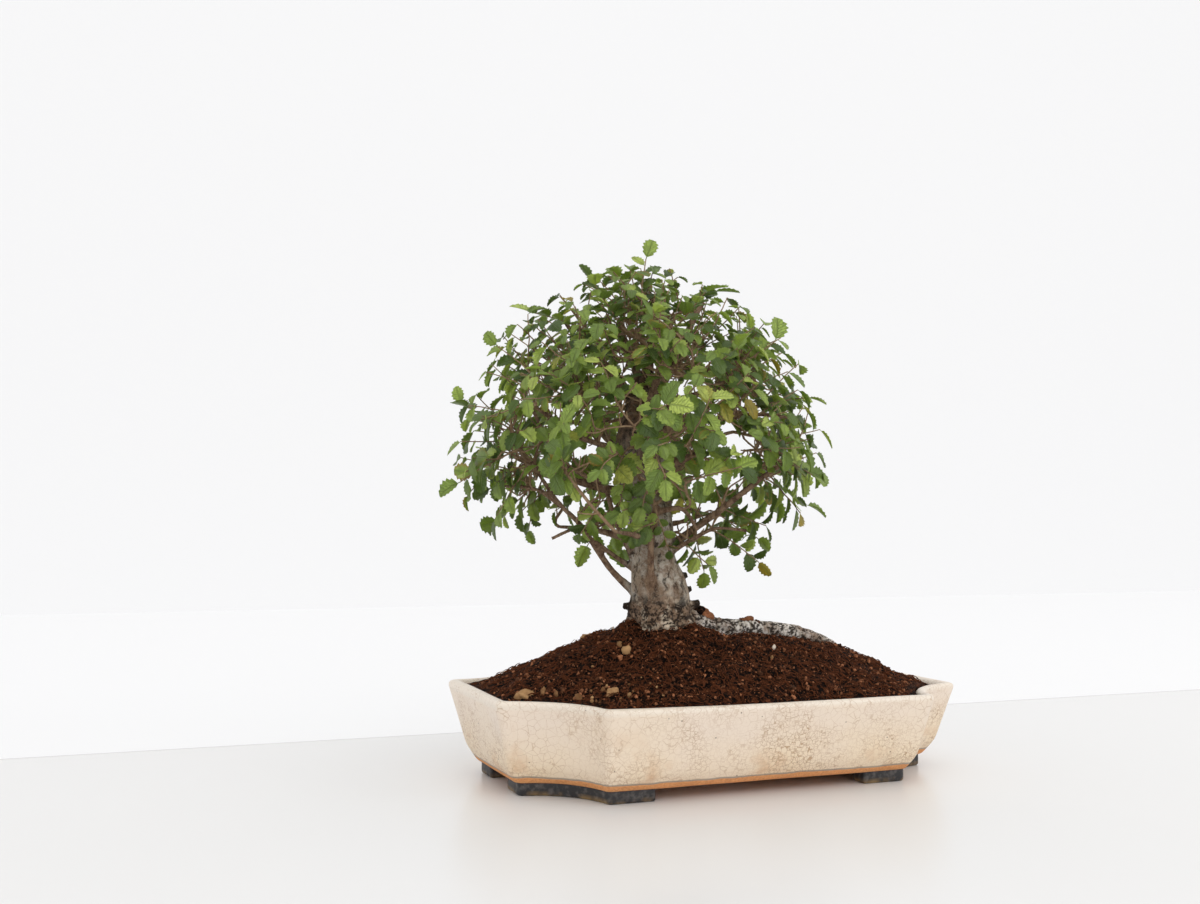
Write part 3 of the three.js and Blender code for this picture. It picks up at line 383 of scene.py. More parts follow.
# Stage
FLOOR_SIZE = 9000
FLOOR_ROUGHNESS, BACKDROP_ROUGHNESS = 0.25, 0.8
# The backdrop lies flat from behind the pot and rises far away, so that it hides nothing in views from behind
BACKDROP_START = 187
BACKDROP_RISE = 1500
BACKDROP_LIFT = 0.3
CAMERA_PLACE = (-382.7, -765.7, 164.0)
CAMERA_FORWARD = (0.3729, 0.9266, 0.0484)
CAMERA_ROLL = -0.374  # degrees
SENSOR_WIDTH = 36
WORLD_STRENGTH = 1.0
BACKDROP_GLOW = 0.5  # the lit backdrop's own light
LIGHTS = [
    ("key_light", (1500, -1300, 1100), (-20, 0, 160), 900, 3.5),
    ("front_light", (0, -2500, 1800), (-20, 0, 150), 2500, 11),
]

SEED = 20481
MIX_FIRST = 0x9E3779B1
MIX_SECOND = 0x85EBCA6B
WORD = 0xFFFFFFFF
DRAW = {
    "turn": 1, "wander_x": 2, "wander_y": 3, "wander_z": 4, "twig_length": 5,
    "sway_x": 11, "sway_y": 12, "sway_z": 13,
    "tilt": 21, "lean": 22, "look_out": 23, "look_aside": 24, "leaf_length": 25,
    "tint": 31, "curl": 32, "form": 33,
}


def draw(*keys):
    """The solids' fixed draw from 0 to 1 for a few whole numbers."""
    mixed = SEED
    for key in keys:
        mixed = ((mixed ^ key) * MIX_FIRST) & WORD
        mixed ^= mixed >> 15
        mixed = (mixed * MIX_SECOND) & WORD
        mixed ^= mixed >> 13
    return mixed / (WORD + 1)


def unit(vector):
    return vector / np.linalg.norm(vector)


# Curves: each is a function from a share of 0 to 1 to a point

def smooth_route(route):
    """The smooth curve through a route's points, as the solids' tubes follow it."""
    points = np.array([point[:3] for point in route], dtype=float)
    last = len(points) - 1

    def at(share):
        place = last * share
        span = min(int(math.floor(place)), last - 1)
        t = place - span
        p1, p2 = points[span], points[span + 1]
        p0 = points[span - 1] if span > 0 else 2 * points[0] - points[1]
        p3 = points[span + 2] if span + 2 <= last else 2 * points[last] - points[last - 1]
        d0, d1, d2 = (math.sqrt(np.linalg.norm(b - a)) for a, b in ((p0, p1), (p1, p2), (p2, p3)))
        t1 = ((p1 - p0) / d0 - (p2 - p0) / (d0 + d1) + (p2 - p1) / d1) * d1
        t2 = ((p2 - p1) / d1 - (p3 - p1) / (d1 + d2) + (p3 - p2) / d2) * d1
        return p1 + t1 * t + (3 * (p2 - p1) - 2 * t1 - t2) * t ** 2 + (2 * (p1 - p2) + t1 + t2) * t ** 3

    return at


def bezier(*points):
    """A quadratic or cubic curve."""
    points = [np.asarray(point, dtype=float) for point in points]
    order = len(points) - 1
    weights = [math.comb(order, i) for i in range(order + 1)]

    def at(share):
        return sum(weights[i] * share ** i * (1 - share) ** (order - i) * points[i] for i in range(order + 1))

    return at


def tangent(curve, share):
    step = 0.0001
    return unit(curve(min(1, share + step)) - curve(max(0, share - step)))


def length_of(curve, pieces=200):
    points = np.array([curve(i / pieces) for i in range(pieces + 1)])
    return float(np.linalg.norm(np.diff(points, axis=0), axis=1).sum())


def radius_at(radii, share):
    return float(np.interp(share * (len(radii) - 1), range(len(radii)), radii))


# Growth

class Balls:
    """Balls along everything that has grown so far, which say where there is room for more."""

    def __init__(self):
        self.rows = []
        self.table = np.empty((0, 7))

    def add(self, centre, radius, owner, carries=-9, blade=0):
        self.rows.append((*centre, radius, owner, carries, blade))

    def settle(self):
        if self.rows:
            self.table = np.vstack([self.table, np.array(self.rows, dtype=float)])
            self.rows = []

    def along(self, curve, radii, owner, carries=-9):
        count = math.ceil(length_of(curve) / BALL_SPACING)
        for i in range(count + 1):
            self.add(curve(i / count), radius_at(radii, i / count), owner, carries)
        self.settle()

    def room(self, centre, radius, owner, root):
        rows = self.table
        apart = np.linalg.norm(rows[:, :3] - centre, axis=1)
        same = rows[:, 4] == owner
        own_branch = (rows[:, 5] == owner) & (np.linalg.norm(rows[:, :3] - root, axis=1) < BRANCH_END)
        need = rows[:, 3] + radius + CLEAR
        need = np.where(own_branch, rows[:, 3] + NEAR_BRANCH * radius, need)
        need = np.where(same, np.where(rows[:, 6] > 0, SAME_SPRAY * (rows[:, 3] + radius), -1), need)
        return bool(np.all(apart > need))

    def loose_room(self, centre, radius):
        """Room among blades alone, for the finer growth."""
        blades = self.table[self.table[:, 6] > 0]
        apart = np.linalg.norm(blades[:, :3] - centre, axis=1)
        return bool(np.all(apart > MORE_CLEAR * (blades[:, 3] + radius)))


def crown_place(share, turn, scale):
    spans = list(zip(CROWN_OUTLINE, CROWN_OUTLINE[1:]))
    areas = np.cumsum([0] + [(a[0] + b[0]) * math.hypot(b[0] - a[0], b[1] - a[1]) for a, b in spans])
    wanted = share * areas[-1]
    span = int(np.searchsorted(areas[1:], wanted, side="left"))
    (r0, z0), (r1, z1) = spans[span]
    within = (wanted - areas[span]) / (areas[span + 1] - areas[span])
    radius = r0 + (r1 - r0) * within
    height = z0 + (z1 - z0) * within
    out = unit(np.array([math.cos(turn) * (z1 - z0), math.sin(turn) * (z1 - z0), r0 - r1]))
    middle = CROWN_OUTLINE[WIDEST][1]
    place = np.array([
        CROWN_X + math.cos(turn) * radius * scale,
        CROWN_Y + math.sin(turn) * radius * scale * CROWN_DEPTH,
        middle + (height - middle) * scale,
    ])
    return place, out


LIMB_POINTS = [
    (np.array(limb[i][:3], dtype=float), limb[i][3], np.array(limb[i - 1][:3], dtype=float))
    for limb in LIMBS for i in range(1, len(limb))
]


def limb_point_for(place, limb_points):
    best = None
    for point, radius, before in limb_points:
        away = np.linalg.norm(point - place)
        above = max(0, point[2] - place[2] - ABOVE_FROM)
        cost = away + ABOVE_COST * above + CLOSE_COST * max(0, CLOSE - away)
        if best is None or cost < best[0]:
            best = (cost, point, radius, before)
    return best[1:]


def spray_plans(count, scale, first, limb_points=LIMB_POINTS, upward=1):
    plans = []
    for i in range(count):
        key = first + i
        turn = i * GOLDEN_TURN + first + TURN_STRAY * (draw(key, DRAW["turn"]) - 0.5)
        place, out = crown_place(((i + 0.5) / count) ** upward, turn, scale)
        facing = math.cos(turn) * TRUNK_VIEW[0] + math.sin(turn) * TRUNK_VIEW[1]
        if facing > BARE_FACING and place[2] < BARE_BELOW:
            continue
        wander = np.array([
            draw(key, DRAW["wander_x"]) - 0.5,
            draw(key, DRAW["wander_y"]) - 0.5,
            0.5 * draw(key, DRAW["wander_z"]) - HANG,
        ])
        length = TWIG_LENGTH * (1 + TWIG_STRAY * (draw(key, DRAW["twig_length"]) - 0.5))
        reach = length + TIP_OVERLAP * LEAF_LENGTH[0]
        limb = limb_point_for(place - out * reach, limb_points)[0]
        way = unit(out + wander * WANDER + unit(place - limb) * AWAY_FROM_LIMB)
        root = place - way * reach
        back = root - limb_point_for(root, limb_points)[0]
        if np.dot(way, unit(back)) < SHARPEST:
            continue
        plans.append({"key": key, "way": way, "length": length, "root": root, "sky": out + UP * LOOK_UP})
    return plans


def branch_route(plan, limb_points=LIMB_POINTS):
    point, radius, before = limb_point_for(plan["root"], limb_points)
    span = np.linalg.norm(point - plan["root"])
    leave = unit(unit(point - before) + plan["way"])
    curve = bezier(
        point,
        point + leave * span * BRANCH_EASE,
        plan["root"] - plan["way"] * span * BRANCH_EASE,
        plan["root"],
    )
    return curve, min(radius * BRANCH_SHARE, BRANCH_ROOT)


def twig_curve(plan, attempt):
    key = plan["key"]
    sway = np.array([
        draw(key, DRAW["sway_x"], attempt) - 0.5,
        draw(key, DRAW["sway_y"], attempt) - 0.5,
        0.5 * draw(key, DRAW["sway_z"], attempt) - SWAY_DOWN,
    ])
    end = unit(plan["way"] + sway * (SWAY + SWAY_PER_TRY * attempt))
    root = plan["root"] + plan["way"] * GAP
    return bezier(root, root + plan["way"] * plan["length"] * TWIG_BEND, root + end * plan["length"])


def spray_face(plan):
    way = plan["way"]
    return unit(np.cross(np.cross(way, plan["sky"]), way))


def leaf_pose(plan, curve, index, attempt, places=LEAF_PLACES):
    """Where a leaf sits on its twig, which way its midrib points and which way its face looks."""
    key = plan["key"]
    share = places[index]
    along = tangent(curve, share)
    side = 1 if index % 2 == 0 else -1
    last = share == 1
    face_up = spray_face(plan)
    across = unit(np.cross(along, face_up))
    names = ("tilt", "lean", "look_out", "look_aside")
    pick = {name: draw(key, index, DRAW[name], attempt) for name in names}
    tilt = (pick["tilt"] - TILT_DOWN) * (TILT_STRAY + TILT_PER_TRY * attempt)
    lean = LEAN_LEAST + LEAN_STRAY / 2 + (pick["lean"] - 0.5) * (LEAN_STRAY + LEAN_PER_TRY * attempt)
    midrib = unit(along * lean + across * (TIP_SPREAD if last else side) + face_up * tilt)
    look = face_up + along * (LOOK_OUT_LEAST + LOOK_OUT_STRAY * pick["look_out"])
    look = look + across * LOOK_ASIDE * (pick["look_aside"] - 0.5)
    face = unit(look - midrib * np.dot(look, midrib))
    size = draw(key, index, DRAW["leaf_length"])
    shortest, longest = LEAF_LENGTH
    length = shortest + (longest - shortest) * size ** SMALL_LEAVES - TRY_SHORTER * attempt * size
    return {
        "root": curve(share), "midrib": midrib, "face": face, "length": length, "along": along,
        "tint": draw(key, index, DRAW["tint"]), "curl": draw(key, index, DRAW["curl"]),
        "form": draw(key, index, DRAW["form"]),
    }


def face_outward(pose):
    """Turns a leaf so that it hangs along the crown's surface and looks out and up, towards the light."""
    out = unit(pose["root"] - (CROWN_X, CROWN_Y, CROWN_OUTLINE[WIDEST][1]))
    midrib = pose["midrib"] - out * np.dot(pose["midrib"], out) * LIE_FLAT - UP * HANG_DOWN
    pose["midrib"] = unit(midrib)
    stray = np.array([pose["curl"], pose["form"], pose["tint"]]) - 0.5
    look = out + UP * FACE_UP + stray * FACE_STRAY
    pose["face"] = unit(look - pose["midrib"] * np.dot(look, pose["midrib"]))


def blade_balls(pose):
    for along, wide in BLADE_BALLS:
        yield pose["root"] + pose["midrib"] * along * pose["length"], wide * pose["length"] * LEAF_WIDTH


def grow_leaves(balls, key, tries, pose_at, has_room):
    """A twig's leaves: at each of its places the first pose that has room."""
    leaves = []
    for index in range(len(LEAF_PLACES)):
        for attempt in range(tries):
            pose = pose_at(index, attempt)
            around = list(blade_balls(pose))
            if all(has_room(centre, radius) for centre, radius in around):
                leaves.append(pose)
                for centre, radius in around:
                    balls.add(centre, radius, key, blade=1)
                balls.settle()
                break
    return leaves


def grow_solid_sprays(balls):
    """The solids' sprays again, in their order: a list of (plan, twig, leaf poses)."""
    plans = spray_plans(OUTER_SPRAYS, 1, 0) + spray_plans(INNER_SPRAYS, INNER_SCALE, INNER_KEY)
    for route in [TRUNK, *ROOTS, *LIMBS, *STUBS]:
        balls.along(smooth_route(route), [point[3] for point in route], WOOD)
    branches = [branch_route(plan) for plan in plans]
    for plan, (curve, thick) in zip(plans, branches):
        balls.along(curve, [thick, BRANCH_TIP], WOOD, plan["key"])
    twigs = []
    for plan in plans:
        twig = None
        for attempt in range(TRIES):
            curve = twig_curve(plan, attempt)
            tests = ((curve(share), radius) for share, radius in TWIG_TESTS)
            if all(balls.room(centre, radius, plan["key"], plan["root"]) for centre, radius in tests):
                twig = curve
                balls.along(curve, [TWIG_ROOT, TWIG_TIP], plan["key"])
                break
        twigs.append(twig)
    sprays = []
    for plan, twig in zip(plans, twigs):
        if twig is None:
            continue

        def pose_at(index, attempt):
            return leaf_pose(plan, twig, index, attempt)

        def has_room(centre, radius):
            return balls.room(centre, radius, plan["key"], plan["root"])

        leaves = grow_leaves(balls, plan["key"], TRIES, pose_at, has_room)
        if len(leaves) >= FEWEST_LEAVES:
            sprays.append((plan, twig, leaves))
    return sprays, branches


def grow_more_sprays(balls, branches):
    """The finer growth between the solid sprays: branches, twigs and leaves as for the solids, but closer."""
    limb_points = list(LIMB_POINTS)
    for curve, thick in branches:
        for share in (0.4, 0.75):
            radius = thick + (BRANCH_TIP - thick) * share
            limb_points.append((curve(share), radius, curve(share - 0.2)))
    sprays = []
    more_branches = []
    plans = []
    sky = unit(np.array([*TRUNK_VIEW, TRUNK_SHOOT_SKY]))
    for key, (root, tip) in enumerate(np.array(TRUNK_SHOOTS), TRUNK_SHOOT_KEY):
        length = float(np.linalg.norm(tip - root))
        plans.append({"key": key, "way": unit(tip - root), "length": length, "root": root, "sky": sky})
    for count, scale, first in MORE_SPRAYS:
        plans += spray_plans(count, scale, first, limb_points, MORE_UPWARD)
    for plan in plans:
        twig = twig_curve(plan, 0)

        def pose_at(index, attempt):
            pose = leaf_pose(plan, twig, index, attempt)
            pose["length"] *= float(np.interp(pose["root"][2], MORE_LEAF_HEIGHTS, MORE_LEAF_SIZES))
            if plan["key"] >= TRUNK_SHOOT_KEY:
                pose["length"] *= TRUNK_SHOOT_LEAF
            face_outward(pose)
            return pose

        leaves = grow_leaves(balls, plan["key"], MORE_TRIES, pose_at, balls.loose_room)
        sprays.append((plan, twig, leaves))
        more_branches.append(branch_route(plan, limb_points))
    return sprays, more_branches


def spurs(stems):
    """Short bare side twigs, as pruning leaves them, on each of the stems."""
    for number, (curve, _, _) in enumerate(stems):
        for index, share in enumerate(SPUR_PLACES):
            aside = np.array([draw(number, index, axis) - 0.5 for axis in (1, 2, 3)]) * 2
            way = unit(tangent(curve, share) * 0.5 + aside + UP * 0.3)
            reach = SPUR_LENGTHS[0] + (SPUR_LENGTHS[1] - SPUR_LENGTHS[0]) * draw(number, index, 4) ** 2
            root = curve(share)
            yield bezier(root, root + way * reach * 0.5, root + unit(way + UP * 0.3) * reach), *SPUR_RADII


# Meshes

def select_only(piece):
    bpy.ops.object.select_all(action="DESELECT")
    piece.select_set(True)
    bpy.context.view_layer.objects.active = piece


def apply_modifier(piece, kind, **settings):
    modifier = piece.modifiers.new(kind.title(), kind)
    for key, value in settings.items():
        setattr(modifier, key, value)
    select_only(piece)
    bpy.ops.object.modifier_apply(modifier=modifier.name)


def edit(piece, *steps):
    """Edit-mode operators on the whole mesh, each given as (operator, settings)."""
    select_only(piece)
    bpy.ops.object.mode_set(mode="EDIT")
    bpy.ops.mesh.select_all(action="SELECT")
    for operator, settings in steps:
        operator(**settings)
    bpy.ops.object.mode_set(mode="OBJECT")


def points_of(piece):
    """The piece's points and their outward directions, in millimetres from the middle of the pot."""
    mesh = piece.data
    points = np.empty(len(mesh.vertices) * 3)
    mesh.vertices.foreach_get("co", points)
    normals = np.empty(len(mesh.vertices) * 3)
    mesh.vertex_normals.foreach_get("vector", normals)
    return (points.reshape(-1, 3) - POT_MIDDLE) / MM, normals.reshape(-1, 3)


def move_points(piece, points):
    piece.data.vertices.foreach_set("co", to_frame(points).ravel())
    piece.data.update()


def set_values(piece, name, values):
    """A number for each point of the piece, for its material to read."""
    layer = piece.data.attributes.new(name, "FLOAT", "POINT")
    layer.data.foreach_set("value", np.asarray(values, dtype=np.float32))


def fractal(point, size, octaves=3):
    """Smooth noise about 0 whose lumps are of the given size in millimetres."""
    return noise.fractal(Vector(point) / size, 0.8, 2.1, octaves)


def lofted_grid(name, rings):
    """A grid wrapped round a stack of rings, closed along its seam, with flat ends where it is left open."""
    count = len(rings[0])
    bpy.ops.object.select_all(action="DESELECT")
    bpy.ops.mesh.primitive_grid_add(x_subdivisions=count, y_subdivisions=len(rings) - 1, size=1)
    piece = bpy.context.object
    piece.name = name
    move_points(piece, np.vstack([np.vstack([ring, ring[:1]]) for ring in rings]))
    edit(
        piece,
        (bpy.ops.mesh.remove_doubles, {"threshold": MERGE_WITHIN}),
        (bpy.ops.mesh.fill_holes, {"sides": 0}),
        (bpy.ops.mesh.normals_make_consistent, {"inside": False}),
    )
    return piece


def raised_plate(name, outline, low, high):
    """A flat outline raised into a plate between two heights."""
    bpy.ops.object.select_all(action="DESELECT")
    bpy.ops.mesh.primitive_circle_add(vertices=len(outline), fill_type="NGON")
    piece = bpy.context.object
    piece.name = name
    move_points(piece, np.column_stack([outline, np.full(len(outline), low)]))
    rise = {"value": (0, 0, (high - low) * MM)}
    edit(
        piece,
        (bpy.ops.mesh.extrude_region_move, {"TRANSFORM_OT_translate": rise}),
        (bpy.ops.mesh.select_all, {"action": "SELECT"}),
        (bpy.ops.mesh.normals_make_consistent, {"inside": False}),
    )
    return piece


def tubes(name, routes, sides):
    """Round, closed tubes along lines of (points, radii, number of the material), as one mesh."""
    curve = bpy.data.curves.new(name, "CURVE")
    curve.dimensions = "3D"
    curve.bevel_depth = MM
    curve.bevel_resolution = (sides - 4) // 2
    curve.use_fill_caps = True
    for points, radii, material in routes:
        spline = curve.splines.new("POLY")
        spline.points.add(len(points) - 1)
        spline.points.foreach_set("co", np.column_stack([to_frame(points), np.ones(len(points))]).ravel())
        spline.points.foreach_set("radius", np.asarray(radii, dtype=float))
        spline.material_index = material
        spline.use_smooth = True
    piece = bpy.data.objects.new(name, curve)
    bpy.context.scene.collection.objects.link(piece)
    select_only(piece)
    bpy.ops.object.convert(target="MESH")
    return bpy.context.object


def along_route(route, spacing):
    """Points and radii at even steps along a route of (x, y, z, radius)."""
    curve = smooth_route(route)
    count = max(len(route), math.ceil(length_of(curve) / spacing))
    shares = np.linspace(0, 1, count + 1)
    radii = [point[3] for point in route]
    return [curve(share) for share in shares], [radius_at(radii, share) for share in shares]


def join(pieces, name):
    bpy.ops.object.select_all(action="DESELECT")
    for piece in pieces:
        piece.select_set(True)
    bpy.context.view_layer.objects.active = pieces[0]
    bpy.ops.object.join()
    pieces[0].name = name
    return pieces[0]


def copies(name, template, placements, values):
    """Copies of a template's mesh in one piece: placements are 4x4 matrices in millimetres."""
    source = template.data
    corners = np.empty(len(source.vertices) * 3)
    source.vertices.foreach_get("co", corners)
    corners = np.column_stack([corners.reshape(-1, 3), np.ones(len(source.vertices))])
    faces = np.array([face.vertices[:] for face in source.polygons])
    points = np.vstack([corners @ np.asarray(placement).T[:, :3] for placement in placements])
    steps = np.arange(len(placements))[:, None, None] * len(corners)
    mesh = bpy.data.meshes.new(name)
    mesh.from_pydata(to_frame(points), [], (faces[None] + steps).reshape(-1, faces.shape[1]))
    piece = bpy.data.objects.new(name, mesh)
    bpy.context.scene.collection.objects.link(piece)
    if source.uv_layers:
        places = np.empty(len(source.loops) * 2, dtype=np.float32)
        source.uv_layers[0].data.foreach_get("uv", places)
        layer = mesh.uv_layers.new(name=source.uv_layers[0].name)
        layer.data.foreach_set("uv", np.tile(places, len(placements)))
    for key, each in values.items():
        set_values(piece, key, np.repeat(each, len(corners)))
    return piece


def finish_piece(piece, materials, replaced=()):
    """Gives a piece its materials and its slot, and lets it stand for the nodes it replaces."""
    indices = np.empty(len(piece.data.polygons), dtype=np.int32)
    piece.data.polygons.foreach_get("material_index", indices)
    piece.data.materials.clear()
    for material in materials:
        piece.data.materials.append(material)
    piece.data.polygons.foreach_set("material_index", indices)
    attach(piece, "root")
    if replaced:
        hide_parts(*replaced)


# Materials

def linear(red, green, blue):
    """A colour as a picture editor shows it, 0 to 255, in Blender's own values."""
    shares = [value / 255 for value in (red, green, blue)]
    return tuple(s / 12.92 if s <= 0.04045 else ((s + 0.055) / 1.055) ** 2.4 for s in shares) + (1.0,)


def new_material(name):
    material = bpy.data.materials.new(name)
    material.use_nodes = True
    tree = material.node_tree
    shader = next(node for node in tree.nodes if node.type == "BSDF_PRINCIPLED")
    return material, tree, shader


def put(tree, kind, inputs=None, **settings):
    """A node with its settings, and its inputs set to values or linked to sockets."""
    node = tree.nodes.new(kind)
    for key, value in settings.items():
        setattr(node, key, value)
    for key, value in (inputs or {}).items():
        if isinstance(value, bpy.types.NodeSocket):
            tree.links.new(value, node.inputs[key])
        else:
            node.inputs[key].default_value = value
    return node


MIX_FACTOR, MIX_A, MIX_B, MIX_RESULT = 0, 6, 7, 2


def mix(tree, factor, first, second, blend="MIX"):
    node = put(tree, "ShaderNodeMix", {MIX_FACTOR: factor, MIX_A: first, MIX_B: second},
               data_type="RGBA", blend_type=blend)
    return node.outputs[MIX_RESULT]


def do(tree, operation, first, second=0.0, third=0.0, clamp=False):
    inputs = {0: first, 1: second, 2: third}
    return put(tree, "ShaderNodeMath", inputs, operation=operation, use_clamp=clamp).outputs[0]


def between(tree, value, low, high, out_low=0.0, out_high=1.0):
    inputs = {"Value": value, "From Min": low, "From Max": high, "To Min": out_low, "To Max": out_high}
    return put(tree, "ShaderNodeMapRange", inputs, clamp=True).outputs["Result"]


def object_place(tree, stretch=(1, 1, 1)):
    place = put(tree, "ShaderNodeTexCoord").outputs["Object"]
    return put(tree, "ShaderNodeMapping", {"Vector": place, "Scale": stretch}).outputs["Vector"]


def cloud(tree, place, scale, detail=4.0, roughness=0.55, distortion=0.0):
    inputs = {"Vector": place, "Scale": scale, "Detail": detail}
    inputs.update({"Roughness": roughness, "Distortion": distortion})
    return put(tree, "ShaderNodeTexNoise", inputs).outputs["Fac"]


def cells(tree, place, scale, feature="F1", output="Distance"):
    inputs = {"Vector": place, "Scale": scale}
    return put(tree, "ShaderNodeTexVoronoi", inputs, feature=feature).outputs[output]


def bumped(tree, shader, height, distance, strength=1.0):
    node = put(tree, "ShaderNodeBump", {"Height": height, "Distance": distance, "Strength": strength})
    tree.links.new(node.outputs["Normal"], shader.inputs["Normal"])


def height_above_table(tree):
    place = put(tree, "ShaderNodeTexCoord").outputs["Object"]
    return put(tree, "ShaderNodeSeparateXYZ", {"Vector": place}).outputs["Z"]


def glaze_material(settings):
    """Cream crackle glaze that ends above a band of bare clay, with a thin grey edge between them."""
    material, tree, shader = new_material("crackle_glaze")
    place = object_place(tree)
    height = height_above_table(tree)
    broad = cloud(tree, place, 16.0, 3.0)
    blotch = cloud(tree, place, 70.0, 5.0, 0.65)
    fine = cloud(tree, place, 800.0, 4.0, 0.7)
    low = between(tree, height, 0.047, 0.016)
    drift = between(tree, broad, 0.35, 0.65, -0.3, 0.3)
    warm = do(tree, "ADD", do(tree, "MULTIPLY", low, 0.8), drift, clamp=True)
    cream = mix(tree, warm, tuple(settings.cream), tuple(settings.cream_warm))
    rim = between(tree, height, 0.0515, 0.0535, 0.0, 0.7)
    cream = mix(tree, rim, cream, tuple(settings.rim))
    stains = do(tree, "MULTIPLY", between(tree, cloud(tree, place, 34.0, 4.0, 0.6), 0.56, 0.72), low)
    cream = mix(tree, do(tree, "MULTIPLY", stains, 0.7), cream, tuple(settings.stain))
    cream = mix(tree, between(tree, fine, 0.42, 0.3, 0.0, 0.35), cream, tuple(settings.crackle))
    # Crackle: a wide net of fine lines, and a close one of squarish cells where the glaze is warm
    bent = put(tree, "ShaderNodeTexNoise", {"Vector": place, "Scale": 160.0, "Detail": 3.0}).outputs["Color"]
    crooked = mix(tree, 0.003, place, bent, "ADD")
    wide = between(tree, cells(tree, crooked, 210.0, "DISTANCE_TO_EDGE"), 0.034, 0.014, 0.0, 0.62)
    squares = {"Vector": crooked, "Scale": 330.0}
    near, second = (
        put(tree, "ShaderNodeTexVoronoi", squares, feature=feature, distance="CHEBYCHEV").outputs["Distance"]
        for feature in ("F1", "F2")
    )
    close = between(tree, do(tree, "SUBTRACT", second, near), 0.08, 0.03)
    lower = do(tree, "ADD", cloud(tree, place, 26.0, 2.0), do(tree, "MULTIPLY", low, 0.12))
    patches = between(tree, lower, 0.44, 0.6)
    faint = between(tree, cloud(tree, place, 60.0, 3.0), 0.36, 0.6, 0.25, 0.85)
    crackle = do(tree, "MULTIPLY", do(tree, "MAXIMUM", wide, do(tree, "MULTIPLY", close, patches)), faint)
    cream = mix(tree, crackle, cream, tuple(settings.crackle))
    speck = between(tree, cells(tree, place, 135.0), 0.085, 0.06)
    speck = do(tree, "MULTIPLY", speck, between(tree, blotch, 0.48, 0.54))
    cream = mix(tree, do(tree, "MULTIPLY", speck, 0.75), cream, tuple(settings.speck))
    # Where the glaze ends
    wavy = {0: cloud(tree, place, 60.0, 2.0), 1: 0.0022, 2: settings.glaze_edge - 0.0011}
    edge = put(tree, "ShaderNodeMath", wavy, operation="MULTIPLY_ADD").outputs[0]
    above = do(tree, "SUBTRACT", height, edge)
    glazed = between(tree, above, 0.0, 0.0003)
    rim_line = do(tree, "MULTIPLY", glazed, between(tree, above, 0.0016, 0.0008))
    bare = mix(tree, between(tree, fine, 0.35, 0.7), tuple(settings.clay), tuple(settings.clay_dark))
    bare = mix(tree, between(tree, blotch, 0.55, 0.75, 0.0, 0.6), bare, tuple(settings.clay_dark))
    cream = mix(tree, do(tree, "MULTIPLY", rim_line, 0.75), cream, tuple(settings.glaze_edge_grey))
    colour = mix(tree, glazed, bare, cream)
    tree.links.new(colour, shader.inputs["Base Color"])
    gloss = between(tree, glazed, 0.0, 1.0, 0.85, 0.3)
    rough = do(tree, "ADD", gloss, between(tree, fine, 0.3, 0.7, 0.0, 0.18))
    tree.links.new(rough, shader.inputs["Roughness"])
    relief = do(tree, "SUBTRACT", do(tree, "MULTIPLY", fine, 0.35), do(tree, "MULTIPLY", crackle, 0.5))
    relief = do(tree, "SUBTRACT", do(tree, "ADD", relief, do(tree, "MULTIPLY", blotch, 0.8)), speck)
    bumped(tree, shader, relief, 0.00035, 0.6)
    return material


def foot_material(settings):
    """Dark, half-glossy slip on the feet, with ochre dirt low down."""
    material, tree, shader = new_material("dark_foot")
    place = object_place(tree)
    height = height_above_table(tree)
    fine = cloud(tree, place, 300.0, 4.0)
    colour = mix(tree, between(tree, fine, 0.48, 0.75), tuple(settings.foot), tuple(settings.foot_pale))
    spread = between(tree, cloud(tree, place, 90.0), 0.4, 0.6)
    dirt = do(tree, "MULTIPLY", between(tree, height, 0.0035, 0.0), spread)
    colour = mix(tree, dirt, colour, tuple(settings.foot_dirt))
    tree.links.new(colour, shader.inputs["Base Color"])
    shader.inputs["Roughness"].default_value = 0.5
    bumped(tree, shader, fine, 0.0004, 0.7)
    return material


def peat_material(settings):
    """Dark peat and coconut dust; its near-black patches are partly painted shade."""
    material, tree, shader = new_material("peat")
    place = object_place(tree)
    coarse = cloud(tree, place, 240.0, 5.0, 0.7)
    fine = cloud(tree, place, 800.0, 4.0, 0.7)
    # Near-black patches: partly dark peat, partly painted shade of the soil's pits
    colour = mix(tree, between(tree, coarse, 0.46, 0.66), tuple(settings.peat_dark_and_painted_shade), tuple(settings.peat))
    colour = mix(tree, between(tree, fine, 0.58, 0.72, 0.0, 0.7), colour, tuple(settings.fibre_dark))
    tree.links.new(colour, shader.inputs["Base Color"])
    shader.inputs["Roughness"].default_value = 0.95
    shader.inputs["Specular IOR Level"].default_value = 0.1
    bumped(tree, shader, do(tree, "ADD", coarse, do(tree, "MULTIPLY", fine, 0.5)), 0.0016, 0.9)
    return material


def tinted_material(name, dark, pale, roughness=0.9, grain=500.0):
    """A colour between two, picked by each bit's own tint."""
    material, tree, shader = new_material(name)
    tint = put(tree, "ShaderNodeAttribute", attribute_name="tint").outputs["Fac"]
    grainy = cloud(tree, object_place(tree), grain, 3.0)
    share = do(tree, "ADD", tint, between(tree, grainy, 0.3, 0.7, -0.2, 0.2), clamp=True)
    tree.links.new(mix(tree, share, dark, pale), shader.inputs["Base Color"])
    shader.inputs["Roughness"].default_value = roughness
    shader.inputs["Specular IOR Level"].default_value = 0.15
    bumped(tree, shader, grainy, 0.0005, 0.6)
    return material


